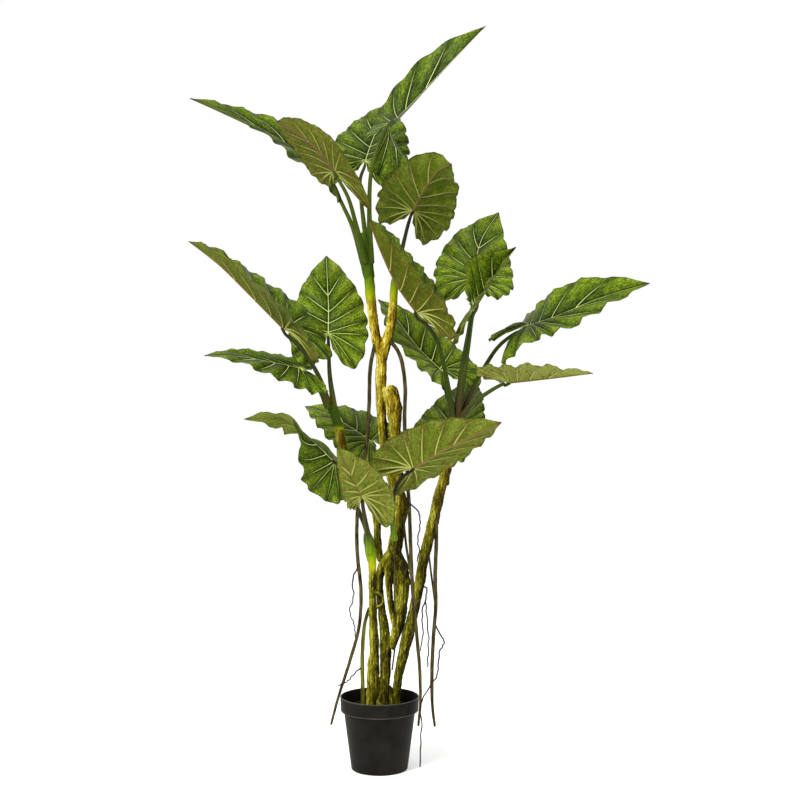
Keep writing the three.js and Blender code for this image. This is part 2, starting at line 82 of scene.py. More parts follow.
def node(tree: Tree, kind: str, inputs: dict | tuple = (), output: int | str = 0, **settings) -> Socket:
    """Adds one shader node with its settings and links.

    Args:
        tree: the material's node tree.
        kind: the node's type without its ShaderNode prefix.
        inputs: values or sockets by the input's name or number, or as a row in the node's own order. A
            MapRange's row is the value, the two ends it comes from and the two it goes to.
        output: the output that is wanted, by name or number.
        settings: the node's own options. stops holds a colour ramp's (place, hex colour) pairs.

    Returns:
        The wanted output socket.
    """
    made = tree.nodes.new("ShaderNode" + kind)
    stops = settings.pop("stops", ())
    for name, value in settings.items():
        setattr(made, name, value)
    if stops:
        elements = made.color_ramp.elements
        while len(elements) < len(stops):
            elements.new(1.0)
        for element, (place, colour) in zip(elements, stops):
            element.position = place
            element.color = linear(colour)
    for name, value in inputs.items() if isinstance(inputs, dict) else enumerate(inputs):
        if isinstance(value, Socket):
            tree.links.new(value, made.inputs[name])
        else:
            made.inputs[name].default_value = value
    return made.outputs[output]


def weighted(tree: Tree, offset: float, *terms: tuple[Socket, float]) -> Socket:
    """Adds up patterns, each times its weight, and a fixed offset.

    Args:
        tree: the material's node tree.
        offset: what is added to the sum.
        terms: pairs of a pattern and its weight.

    Returns:
        The sum.
    """
    total: float | Socket = offset
    for pattern, weight in terms:
        total = node(tree, "Math", (pattern, weight, total), operation="MULTIPLY_ADD")
    return total


def empty_material(name: str) -> tuple[Material, Tree]:
    """Makes a material with no nodes.

    Args:
        name: the material's name.

    Returns:
        The material and its node tree.
    """
    material = bpy.data.materials.new(name)
    material.use_nodes = True
    material.node_tree.nodes.clear()
    return material, material.node_tree


def finish_material(
    tree: Tree,
    colour: Socket | tuple,
    roughness: Socket | float,
    gloss: float = 0.5,
    relief: tuple[Socket, float, float] | None = None,
) -> None:
    """Ends a node tree in one Principled surface.

    Args:
        tree: the material's node tree.
        colour: the surface's colour.
        roughness: its roughness.
        gloss: its specular level.
        relief: a bump's height pattern, its strength, and its distance in millimetres.
    """
    shader = {"Base Color": colour, "Roughness": roughness, "Specular IOR Level": gloss}
    if relief:
        height, strength, distance = relief
        bumped = {"Height": height, "Strength": strength, "Distance": distance * MM}
        shader["Normal"] = node(tree, "Bump", bumped)
    end = tree.nodes.new("ShaderNodeOutputMaterial")
    tree.links.new(node(tree, "BsdfPrincipled", shader), end.inputs["Surface"])


def catmull(points: Array, t: Array) -> Array:
    """Places along a Catmull-Rom curve of tension one half.

    Each leg is a cubic through its two ends, whose slope at an end is half the way between the points
    on either side. The curve is carried on past each end by its last leg.

    Args:
        points: the curve's points, one a row.
        t: places from 0 to 1, spread evenly over the legs.

    Returns:
        A point for each place.
    """
    legs = len(points) - 1
    wide = np.vstack([2 * points[0] - points[1], points, 2 * points[-1] - points[-2]])
    place = np.clip(t, 0, 1) * legs
    leg = np.minimum(place.astype(int), legs - 1)
    f = (place - leg)[..., None]
    a, b, c, d = wide[leg], wide[leg + 1], wide[leg + 2], wide[leg + 3]
    return 0.5 * (2 * b + (c - a) * f + (2 * a - 5 * b + 4 * c - d) * f**2 + (3 * b - a - 3 * c + d) * f**3)


def unit(vectors: Array) -> Array:
    """Vectors of length 1 along the given ones."""
    return vectors / np.maximum(np.linalg.norm(vectors, axis=-1, keepdims=True), 1e-9)


def bump(distance: Array, width: float | Array) -> Array:
    """A smooth ridge: e to the power of minus the square of the distance over the width."""
    return np.exp(-((distance / width) ** 2))


def between(ends: tuple[float, float], share: float | Array) -> float | Array:
    """What lies at a share of the way from the first end to the second."""
    return ends[0] + (ends[1] - ends[0]) * share


def grid_triangles(rows: int, columns: int, closed: bool) -> Array:
    """Two triangles for each cell of a grid of points that is numbered row by row.

    They face the way of the column direction crossed with the row direction.

    Args:
        rows: how many rows of points there are.
        columns: how many points a row has.
        closed: whether each row's last point is joined to its first.

    Returns:
        Three point numbers a triangle.
    """
    i, j = np.meshgrid(np.arange(rows - 1), np.arange(columns if closed else columns - 1), indexing="ij")
    a, b = i * columns + j, i * columns + (j + 1) % columns
    cells = np.stack([a, b, b + columns, a, b + columns, a + columns], axis=-1)
    return cells.reshape(-1, 3)


def weld(points: Array, triangles: Array) -> tuple[Array, Array, Array]:
    """Merges points that lie in one place, which closes seams and poles.

    Args:
        points: the points, in millimetres.
        triangles: their triangles.

    Returns:
        The number of the first of each group of points, the triangles in the new numbers, and which
        triangles are kept because their corners still differ.
    """
    places = np.round(points, SAME_PLACE_DIGITS)
    _, first, number = np.unique(places, axis=0, return_index=True, return_inverse=True)
    merged = number.reshape(-1)[triangles]
    kept = (merged != np.roll(merged, 1, axis=1)).all(axis=1)
    return first, merged[kept], kept


def object_from(name: str, mesh: Mesh, materials: list[Material]) -> bpy.types.Object:
    """Puts a mesh in the scene, dressed and riding on the part's body.

    Args:
        name: the piece's name.
        mesh: its mesh, in metres.
        materials: the materials that its faces name.

    Returns:
        The object.
    """
    piece = bpy.data.objects.new(name, mesh)
    bpy.context.scene.collection.objects.link(piece)
    for material in materials:
        mesh.materials.append(material)
    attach(piece, BODY)
    return piece


def put_attributes(mesh: Mesh, attributes: dict[str, Array]) -> None:
    """Stores values on a mesh's points.

    Args:
        mesh: the mesh.
        attributes: numbers, vectors of three or colours of four, for each point.
    """
    kinds = {1: ("FLOAT", "value"), 3: ("FLOAT_VECTOR", "vector"), 4: ("FLOAT_COLOR", "color")}
    for title, values in attributes.items():
        kind, key = kinds[values[0].size]
        made = mesh.attributes.new(title, kind, "POINT")
        made.data.foreach_set(key, values.astype(np.float32).ravel())


def mesh_from(
    name: str,
    points: Array,
    triangles: Array,
    uv: Array | None = None,
    finish: Array | None = None,
    attributes: dict[str, Array] | None = None,
) -> Mesh:
    """Makes a mesh from whole arrays.

    Args:
        name: the mesh's name.
        points: its corner points, in millimetres.
        triangles: three point numbers a row.
        uv: a pair for each corner of each triangle.
        finish: the number of each triangle's material.
        attributes: numbers, vectors of three or colours of four, for each point.

    Returns:
        The mesh, in metres, shaded smooth.
    """
    mesh = bpy.data.meshes.new(name)
    mesh.vertices.add(len(points))
    mesh.vertices.foreach_set("co", (points * MM).astype(np.float32).ravel())
    mesh.loops.add(triangles.size)
    mesh.loops.foreach_set("vertex_index", triangles.astype(np.int32).ravel())
    mesh.polygons.add(len(triangles))
    mesh.polygons.foreach_set("loop_start", np.arange(0, triangles.size, 3, dtype=np.int32))
    if finish is not None:
        mesh.polygons.foreach_set("material_index", finish.astype(np.int32))
    if uv is not None:
        layer = mesh.uv_layers.new(name="Surface")
        layer.uv.foreach_set("vector", uv.astype(np.float32).ravel())
    put_attributes(mesh, attributes or {})
    mesh.update(calc_edges=True)
    mesh.validate()
    mesh.shade_smooth()
    return mesh


class StalkColours(Enum):
    """The colours of a group of stalks, from the blade down to the stem."""

    FRESH = ("#303a0d", "#39470a", "#3a490a", "#36460a")
    BLACKISH = ("#1d1a12", "#1f2010", "#29330f", "#5c7410")
    OLIVE = ("#2f3217", "#2f3717", "#333a16", "#484612")
    MID_GREEN = ("#323f10", "#32420f", "#363d10", "#382818")
    SHADED = ("#20260a", "#28350a", "#2c390b", "#303712")
    STRIPED = ("#211c11", "#33301a", "#303412", "#6d8a08")


@dataclass(frozen=True)
class Leaf:
    """One leaf: a heart-shaped blade on its stalk.

    midrib runs from the stalk to the tip, and stalk from just below the blade down to the stem. face is
    the way the upper surface looks, and tip_face the way it looks at the tip. Angles are in degrees, the
    left half first: fold lifts a half from the flat, tip_fold is its fold at the tip, lobe_fold is the
    fold that its lobe turns to, curl bends it up towards its margin, and droop lowers its lobe. lobes
    are the lobes' lengths against the usual one, and breadth narrows a half. Its tone goes from a dark
    leaf at 0 to a bright one at 1 and beyond; it is partly the leaf's own green and partly painted
    light, which makes a lit leaf such as right_level brighter. rust is how much brown its underside
    has. A stalk_over meets the midrib from above, as on a leaf that is folded back.
    """

    midrib: tuple[Point, ...]
    face: Point
    half_width: float
    stalk: tuple[Point, ...]
    colours: StalkColours
    fold: tuple[float, float] = (15, 15)
    curl: tuple[float, float] = (-15, -15)
    droop: tuple[float, float] = (20, 20)
    lobes: tuple[float, float] = (1.0, 1.0)
    breadth: tuple[float, float] = (1.0, 1.0)
    lobe_fold: tuple[float, float] | None = None
    tip_face: Point | None = None
    tip_fold: tuple[float, float] | None = None
    tone: float = 0.5
    rust: float = 0.5
    stalk_over: bool = False


LEAVES: dict[str, Leaf] = {
    "top_left": Leaf(
        midrib=((-157, 125, 1470), (-253, 112, 1533), (-351, 80, 1576), (-461, 30, 1617)),
        face=(0.3, -0.6, 0.74), half_width=100, fold=(24, 4), tip_fold=(36, 8), curl=(-12, -12),
        droop=(40, 30), lobes=(0.75, 1.0),
        stalk=((-115, 112, 1410), (-92, 86, 1364), (-65, 46, 1302), (-38, 7, 1210)),
        colours=StalkColours.FRESH, tone=0.4,
    ),
    "top_left_front": Leaf(
        midrib=((-103, -94, 1413), (-139, -148, 1454), (-184, -192, 1486), (-224, -240, 1502)),
        face=(-0.1, 1, 0.5), half_width=74, fold=(70, 52), droop=(55, 25), lobes=(1.5, 0.4),
        stalk=((-93, -99, 1395), (-71, -80, 1354), (-53, -46, 1291), (-32, -10, 1210)),
        colours=StalkColours.FRESH, tone=0.65, rust=0.75,
    ),
    "crown": Leaf(
        midrib=((-37, 80, 1473), (-24, 140, 1527), (-5, 210, 1593), (17, 290, 1663)),
        face=(-0.1, -0.8, 1), half_width=105, fold=(10, 10), droop=(30, 50), lobes=(0.8, 0.8),
        stalk=((-49, 72, 1425), (-46, 56, 1373), (-38, 30, 1306), (-25, 9, 1210)),
        colours=StalkColours.FRESH, tone=0.5,
    ),
    "top_right": Leaf(
        midrib=((27, 0, 1550), (73, 10, 1595), (162, 10, 1689), (256, 0, 1783)),
        face=(0.18, -0.97, -0.1), half_width=104, fold=(-80, -77), tip_fold=(-15, -86),
        lobe_fold=(-78, 10), curl=(0, -10), droop=(10, 15), lobes=(0.6, 1.0), stalk_over=True,
        stalk=((3, -14, 1509), (-18, -14, 1440), (-24, -12, 1378), (-24, -8, 1301), (-20, -5, 1210)),
        colours=StalkColours.FRESH, tone=0.3,
    ),
    "upper_centre": Leaf(
        midrib=((81, 60, 1345), (102, -20, 1376), (135, -110, 1412), (166, -190, 1416)),
        face=(0.1, 1, 0.3), half_width=95, fold=(15, 10),
        stalk=((66, 52, 1302), (56, 36, 1259), (44, 16, 1213), (37, 6, 1170)),
        colours=StalkColours.BLACKISH, tone=0.5, rust=0.4,
    ),
    "centre_folded": Leaf(
        midrib=((91, -75, 1088), (44, -105, 1150), (8, -145, 1220), (-22, -205, 1292)),
        face=(0.88, 0, 0.47), half_width=110, fold=(42, 50), lobes=(0.75, 0.65),
        stalk=((114, -70, 1058), (138, -56, 1020), (155, -36, 959), (168, -17, 888), (175, -8, 840)),
        colours=StalkColours.SHADED, tone=0.45, rust=0.7,
    ),
    "right_upright": Leaf(
        midrib=((230, 70, 1179), (241, 150, 1240), (264, 230, 1308), (310, 300, 1380)),
        face=(0.1, -0.7, 1), half_width=97, fold=(8, 0), curl=(-8, -5), droop=(30, 20), lobes=(0.75, 0.5),
        stalk=((228, 66, 1127), (216, 46, 1052), (200, 24, 968), (189, 14, 889), (183, 6, 840)),
        colours=StalkColours.MID_GREEN, tone=0.72,
    ),
    "right_cupped": Leaf(
        midrib=((226, -60, 1105), (250, -110, 1142), (277, -170, 1184), (306, -230, 1224)),
        face=(-0.57, -0.7, 0.42), half_width=92, fold=(10, 40), tip_fold=(90, 40), lobes=(0.4, 1.0),
        stalk=((220, -52, 1078), (212, -38, 1015), (202, -24, 944), (193, -13, 884), (188, -8, 840)),
        colours=StalkColours.MID_GREEN, tone=0.6, rust=0.6,
    ),
    "far_right": Leaf(
        midrib=((357, -20, 1063), (424, -20, 1085), (528, -10, 1128), (650, 0, 1165)),
        face=(-0.3, -0.41, 0.86), half_width=110, fold=(-8, 12), tip_fold=(62, 8), droop=(20, 60),
        stalk=((322, -14, 1042), (286, -8, 1013), (258, -2, 973), (225, 2, 913), (196, 2, 846)),
        colours=StalkColours.MID_GREEN, tone=0.6, rust=0.7,
    ),
    "right_level": Leaf(
        midrib=((305, -40, 927), (362, -110, 932), (422, -180, 938), (476, -240, 944)),
        face=(0, 0.1, 1), half_width=84, fold=(20, 26), curl=(-10, -10), droop=(5, 5), lobes=(0.8, 0.6),
        stalk=((294, -34, 922), (263, -30, 905), (231, -22, 882), (207, -14, 858), (189, -6, 826)),
        # Painted light: this high tone paints the lit underside of this leaf brighter.
        colours=StalkColours.MID_GREEN, tone=1.4, rust=0.45,
    ),
    "behind_centre": Leaf(
        midrib=((150, 60, 957), (91, 110, 1018), (46, 170, 1082), (-8, 230, 1145)),
        face=(0, -0.6, 1), half_width=92, fold=(37, 10), lobes=(0.6, 0.8),
        stalk=((157, 54, 930), (163, 40, 897), (171, 20, 860), (177, 8, 828)),
        colours=StalkColours.SHADED, tone=0.8,
    ),
    "behind_right": Leaf(
        midrib=((173, 95, 781), (190, 155, 824), (214, 225, 879), (241, 295, 934)),
        face=(0, -0.6, 1), half_width=100, fold=(10, 45),
        stalk=((173, 88, 756), (168, 60, 724), (160, 8, 681)),
        colours=StalkColours.SHADED, tone=0.7,
    ),
    "front_right": Leaf(
        midrib=((77, -115, 724), (140, -175, 766), (205, -235, 802), (270, -295, 836)),
        face=(0.1, 0.8, 0.5), half_width=88, fold=(42, 20),
        stalk=((56, -107, 707), (40, -90, 680), (32, -66, 644), (31, -42, 600), (36, -20, 548)),
        colours=StalkColours.BLACKISH, tone=0.6, rust=0.6,
    ),
    "front_centre": Leaf(
        midrib=((-41, -118, 660), (-54, -152, 694), (-72, -192, 738), (-92, -230, 780)),
        face=(0.1, 1, 0.3), half_width=77, breadth=(1.0, 0.5), fold=(0, -25), droop=(70, 40),
        lobes=(1.55, 0.5), stalk_over=True,
        stalk=((-37, -106, 636), (-31, -78, 598), (-25, -46, 557), (-25, -20, 518)),
        colours=StalkColours.STRIPED, tone=0.8, rust=0.55,
    ),
    "lower_left": Leaf(
        midrib=((-106, -38, 736), (-156, -66, 787), (-220, -84, 837), (-315, -90, 840)),
        face=(-0.3, -0.9, 0.4), tip_face=(0, 0.5, 0.8), half_width=88, breadth=(1.0, 0.8),
        fold=(14, -70), tip_fold=(10, 0), lobes=(1.0, 0.5), stalk_over=True,
        stalk=((-93, -40, 717), (-77, -16, 676), (-54, -3, 626), (-32, 0, 573), (-20, -2, 518)),
        colours=StalkColours.STRIPED, tone=0.6, rust=0.3,
    ),
    "behind_left": Leaf(
        midrib=((-20, 85, 781), (-69, 135, 812), (-131, 195, 846), (-199, 255, 868)),
        face=(0, -0.6, 1), half_width=85, fold=(10, 10), lobes=(0.75, 0.75),
        stalk=((-27, 74, 752), (-36, 50, 709), (-42, 20, 662)),
        colours=StalkColours.SHADED, tone=0.8,
    ),
    "left_level": Leaf(
        midrib=((-185, -75, 959), (-250, -125, 972), (-317, -175, 983), (-388, -215, 984)),
        face=(0, -0.9, 0.5), half_width=85, fold=(22, -36), tip_fold=(45, -36), curl=(-10, -5),
        lobes=(0.7, 0.9),
        stalk=((-165, -62, 936), (-141, -34, 906), (-125, -1, 866)),
        colours=StalkColours.OLIVE, tone=0.45, rust=0.8,
    ),
    "upper_left": Leaf(
        midrib=((-220, -80, 1050), (-300, -80, 1130), (-375, -60, 1202), (-453, -30, 1262)),
        face=(0.68, 0, 0.74), half_width=110, fold=(25, 44), tip_fold=(28, 26),
        stalk=((-193, -66, 1016), (-167, -42, 981), (-142, -8, 932), (-121, 15, 866)),
        colours=StalkColours.OLIVE, tone=0.45, rust=0.6,
    ),
    "heart_left": Leaf(
        midrib=((-125, 26, 1045), (-126, 54, 1110), (-132, 110, 1179), (-139, 190, 1253)),
        face=(0, -1, 0.3), half_width=95, fold=(5, 5), droop=(45, 10),
        stalk=((-124, 34, 998), (-121, 22, 944), (-110, 8, 866)),
        colours=StalkColours.OLIVE, tone=0.75,
    ),
}


@dataclass(frozen=True)
class LeafFinish:
    """A living blade: a waxy satin upper side with pale sunken veins, and a duller underside.

    The wax gives soft grey reflections on the quilted upper side, where the wall is seen at a slant. Its
    green is mottled and streaked along the veins, with painted shade that darkens it by each vein and
    along the midrib, and it is yellow-green between them. The underside stands out in raised veins and
    has a net of brown streaks. The margin and the tip, where a real blade dries first, are brown. A vein
    line's numbers are where it starts and ends to fade, in half widths of the vein, and its full share. A
    vein fade's are where on the way out it goes.
    """

    deep: str = "#131d02"
    middle: str = "#364806"
    light: str = "#56690c"
    rim: str = "#7c8c2a"
    edge: str = "#26240b"
    vein: str = "#b4c46a"
    under_deep: str = "#2c3605"
    under_middle: str = "#4e6012"
    under_light: str = "#7e8636"
    under_vein: str = "#9da253"
    rust: str = "#432c10"
    rib_under: str = "#68502c"
    upper_roughness: float = 0.42
    under_roughness: float = 0.6
    upper_gloss: float = 0.07
    under_gloss: float = 0.04
    streaks: tuple[float, float] = (13.0, 5.0)
    cells: tuple[float, float] = (5.0, 9.0)
    fleck_mm: float = 3.2
    blotch_mm: float = 26.0
    upper_line: tuple[float, float, float] = (0.3, 0.9, 1.0)
    upper_fade: tuple[float, float] = (0.55, 0.98)
    under_line: tuple[float, float, float] = (0.45, 1.1, 0.8)
    under_fade: tuple[float, float] = (0.5, 1.0)
    dry_margin: tuple[float, float, float, float] = (0.955, 0.99, 0.0, 0.6)
    dry_tip: tuple[float, float, float, float] = (0.95, 0.985, 0.0, 0.8)
    relief_mm: float = 0.9

    def patterns(self, tree: Tree) -> dict[str, Socket]:
        """The patterns that both sides share.

        Args:
            tree: the material's node tree.

        Returns:
            Sockets by name: the blade's own attributes, the way out to the margin, streaks, flecks,
            blotches, net, and the share of dry brown.
        """
        made = {
            title: node(tree, "Attribute", output="Fac", attribute_name=title)
            for title in ("tone", "rust", "vein", "rib", "puff", "ahead")
        }
        surface = node(tree, "UVMap", uv_map="Surface")
        made["across"] = node(tree, "SeparateXYZ", (surface,), output="Y")
        place = node(tree, "TexCoord", output="Object")
        drawn, cells = (
            node(tree, "Mapping", {"Vector": surface, "Scale": (*scale, 1)})
            for scale in (self.streaks, self.cells)
        )
        noises = {
            "streak": {"Vector": drawn, "Scale": 1.0, "Detail": 5.0, "Roughness": 0.7},
            "fleck": {"Vector": place, "Scale": 1 / (self.fleck_mm * MM), "Detail": 3.0, "Roughness": 0.6},
            "blotch": {"Vector": place, "Scale": 1 / (self.blotch_mm * MM), "Detail": 3.0},
        }
        for title, noise in noises.items():
            made[title] = node(tree, "TexNoise", noise)
        net = {"Vector": cells, "Scale": 1.0, "Randomness": 0.9}
        made["net"] = node(tree, "TexVoronoi", net, feature="DISTANCE_TO_EDGE")
        margin = node(tree, "MapRange", (made["across"], *self.dry_margin))
        tip = node(tree, "MapRange", (made["ahead"], *self.dry_tip))
        made["dry"] = node(tree, "Math", (margin, tip), operation="MAXIMUM")
        return made

    def veins(
        self, tree: Tree, made: dict[str, Socket], line: tuple[float, float, float], fade: tuple[float, float]
    ) -> Socket:
        """The share of the veins' colour, which fades on the way out.

        Args:
            tree: the material's node tree.
            made: the shared patterns.
            line: where a vein's line starts and ends to fade, and its full share.
            fade: where on the way out it starts to fade, and where it is gone.

        Returns:
            The share.
        """
        start, end, full = line
        shares = (
            node(tree, "MapRange", (made["vein"], start, end, full, 0.0)),
            node(tree, "MapRange", (made["across"], *fade, 1.0, 0.0)),
        )
        return node(tree, "Math", shares, operation="MULTIPLY")

    def upper(self) -> Material:
        """The upper side's material."""
        material, tree = empty_material("waxy_leaf_upper")
        p = self.patterns(tree)
        # Painted shade: the green darkens by each vein and by the midrib, through the groove term and puff,
        # as the shade in the sunken veins.
        nearest = node(tree, "Math", (p["vein"], p["rib"]), operation="MINIMUM")
        painted_groove_shade = node(tree, "MapRange", (nearest, 0.6, 3.5))
        # The tone term is partly painted light, as on a lit leaf.
        shade = weighted(
            tree, -2.63, (p["streak"], 1.8), (p["fleck"], 1.5), (p["blotch"], 0.4), (p["tone"], 0.5),
            (p["across"], 0.45), (p["puff"], 0.4), (p["net"], 0.45), (painted_groove_shade, 0.35),
        )
        stops = ((0.0, self.deep), (0.38, self.middle), (0.7, self.light), (1.0, self.rim))
        colour = node(tree, "ValToRGB", (shade,), stops=stops)
        lines = (
            self.veins(tree, p, self.upper_line, self.upper_fade),
            node(tree, "MapRange", (p["rib"], 0.15, 0.6, 1.0, 0.0)),
        )
        pale = node(tree, "Math", lines, operation="MAXIMUM")
        for share, paint in ((pale, self.vein), (p["dry"], self.edge)):
            colour = node(tree, "Mix", {0: share, 6: colour, 7: linear(paint)}, output=2, data_type="RGBA")
        polish = (p["streak"], 0, 1, self.upper_roughness - 0.1, self.upper_roughness + 0.14)
        grain = weighted(tree, 0.0, (p["streak"], 1.0), (p["net"], 1.2))
        roughness = node(tree, "MapRange", polish)
        finish_material(tree, colour, roughness, self.upper_gloss, (grain, 0.5, self.relief_mm))
        return material

    def under(self) -> Material:
        """The underside's material."""
        material, tree = empty_material("matt_leaf_underside")
        p = self.patterns(tree)
        # The tone term is partly painted light, as on a leaf whose underside is lit.
        shade = weighted(
            tree, -1.85, (p["streak"], 1.4), (p["fleck"], 1.3), (p["blotch"], 0.9), (p["tone"], 0.8),
            (p["across"], 0.25),
        )
        stops = ((0.0, self.under_deep), (0.45, self.under_middle), (1.0, self.under_light))
        colour = node(tree, "ValToRGB", (shade,), stops=stops)
        stained = weighted(
            tree, -1.6, (p["streak"], 2.2), (p["fleck"], 0.6), (p["blotch"], 0.4), (p["rust"], 0.45),
            (p["puff"], -0.22), (p["net"], -0.9),
        )
        stain = node(tree, "MapRange", (stained, 0.0, 0.14, 0.0, 0.75))
        vein = self.veins(tree, p, self.under_line, self.under_fade)
        rib = node(tree, "MapRange", (p["rib"], 0.6, 1.5, 0.8, 0.0))
        layers = (
            (stain, self.rust), (vein, self.under_vein), (rib, self.rib_under), (p["dry"], self.edge),
        )
        for share, paint in layers:
            colour = node(tree, "Mix", {0: share, 6: colour, 7: linear(paint)}, output=2, data_type="RGBA")
        grain = weighted(tree, 0.0, (p["streak"], 1.0), (p["net"], 1.0))
        finish_material(tree, colour, self.under_roughness, self.under_gloss, (grain, 0.6, self.relief_mm))
        return material


@dataclass(frozen=True)
class StalkFinish:
    """A fleshy leaf stalk: smooth skin with fine lengthwise ribs and a soft shine."""

    roughness: float = 0.42
    gloss: float = 0.06
    rib_mm: float = 2.4
    drawn_out: float = 0.06
    lightness: tuple[float, float] = (0.72, 1.22)

    def material(self) -> Material:
        """The stalk's material. Its colour comes from the piece's own colour attribute."""
        material, tree = empty_material("fleshy_stalk_skin")
        skin = node(tree, "Attribute", output="Vector", attribute_name="skin")
        tint = node(tree, "Attribute", output="Color", attribute_name="tint")
        stretched = node(tree, "Mapping", {"Vector": skin, "Scale": (1, 1, self.drawn_out)})
        streak = node(tree, "TexNoise", {"Vector": stretched, "Scale": 1 / self.rib_mm, "Detail": 3.0})
        lightness = node(tree, "MapRange", (streak, 0.3, 0.7, *self.lightness))
        colour = node(tree, "HueSaturation", {"Color": tint, "Value": lightness})
        finish_material(tree, colour, self.roughness, self.gloss, (streak, 0.4, 0.5))
        return material


@dataclass(frozen=True)
class StemFinish:
    """A woody stem under a skin of moss and lichen: matt, fibrous and streaked lengthwise.

    Yellow-green moss sits on what stands out, brown bark shows between, and the hollows are painted
    nearly black, as painted shade. The side that faces the light is painted lighter through the moss
    value, which is partly moss and partly painted light. The upper stems are more golden than the damp
    lower ones, and a young part goes from yellow to the green of its stalks.
    """

    low: tuple[tuple[float, str], ...] = (
        (0.0, "#0d0a01"), (0.3, "#272204"), (0.55, "#403c08"), (0.8, "#625f10"), (1.0, "#928f2e"),
    )
    high: tuple[tuple[float, str], ...] = (
        (0.0, "#281b03"), (0.3, "#52410a"), (0.55, "#786410"), (0.8, "#99871b"), (1.0, "#cabf66"),
    )
    young: tuple[tuple[float, str], ...] = (
        (0.0, "#86780e"), (0.22, "#8c940b"), (0.5, "#637a10"), (0.75, "#40540f"), (1.0, "#374a11"),
    )
    turn: tuple[float, float] = (0.55, 1.0)
    roughness: float = 0.8
    gloss: float = 0.03
    patch_mm: float = 24.0
    grain_mm: float = 2.8
    fibre_mm: float = 3.0
    drawn_out: float = 0.4
    fibre_drawn_out: float = 0.06

    def material(self) -> Material:
        """The stem's material, from its place and its own attributes: relief, moss and young. Low relief
        paints shade into the hollows, and moss paints light on the side that faces the light.
        """
        material, tree = empty_material("mossy_bark")
        place = node(tree, "TexCoord", output="Object")
        relief, moss, young = (
            node(tree, "Attribute", output="Fac", attribute_name=title)
            for title in ("relief", "moss", "young")
        )
        height = node(tree, "SeparateXYZ", (place,), output="Z")
        drawn, fibrous = (
            node(tree, "Mapping", {"Vector": place, "Scale": (1, 1, scale)})
            for scale in (self.drawn_out, self.fibre_drawn_out)
        )
        patch = node(tree, "TexNoise", {"Vector": drawn, "Scale": 1 / (self.patch_mm * MM), "Detail": 3.0})
        speck = {"Vector": drawn, "Scale": 1 / (self.grain_mm * MM), "Detail": 3.0, "Roughness": 0.7}
        grain = node(tree, "TexNoise", speck)
        fibre = node(tree, "TexNoise", {"Vector": fibrous, "Scale": 1 / (self.fibre_mm * MM), "Detail": 2.0})
        # Painted light and shade: moss lightens the side that faces the light, and low relief darkens the
        # hollows.
        shade = weighted(
            tree, -1.9, (relief, 0.35), (moss, 0.85), (patch, 1.1), (grain, 1.2), (fibre, 1.35)
        )
        upper = node(tree, "MapRange", (height, *self.turn))
        colour, dry = (node(tree, "ValToRGB", (shade,), stops=stops) for stops in (self.low, self.high))
        ripeness = weighted(tree, -0.1, (young, 1.0), (fibre, 0.2))
        fresh = node(tree, "ValToRGB", (ripeness,), stops=self.young)
        grown = node(tree, "MapRange", (young, 0.0, 0.15))
        for share, top in ((upper, dry), (grown, fresh)):
            colour = node(tree, "Mix", {0: share, 6: colour, 7: top}, output=2, data_type="RGBA")
        raised = weighted(tree, 0.0, (grain, 1.0), (fibre, 0.7))
        finish_material(tree, colour, self.roughness, self.gloss, (raised, 0.9, 1.6))
        return material


@dataclass(frozen=True)
class RootFinish:
    """A dry aerial root: dull grey-brown skin with fine lengthwise wrinkles."""

    light: str = "#4c4524"
    dark: str = "#151006"
    roughness: float = 0.65
    gloss: float = 0.05
    wrinkle_mm: float = 3.0
    drawn_out: float = 0.1

    def material(self, name: str) -> Material:
        """The root's material.

        Args:
            name: the material's name.

        Returns:
            The material.
        """
        material, tree = empty_material(name)
        place = node(tree, "TexCoord", output="Object")
        drawn = node(tree, "Mapping", {"Vector": place, "Scale": (1, 1, self.drawn_out)})
        fine = {"Vector": drawn, "Scale": 1 / (self.wrinkle_mm * MM), "Detail": 3.0}
        wrinkle = node(tree, "TexNoise", fine)
        colour = node(tree, "ValToRGB", (wrinkle,), stops=((0.36, self.dark), (0.66, self.light)))
        finish_material(tree, colour, self.roughness, self.gloss, (wrinkle, 0.6, 0.8))
        return material


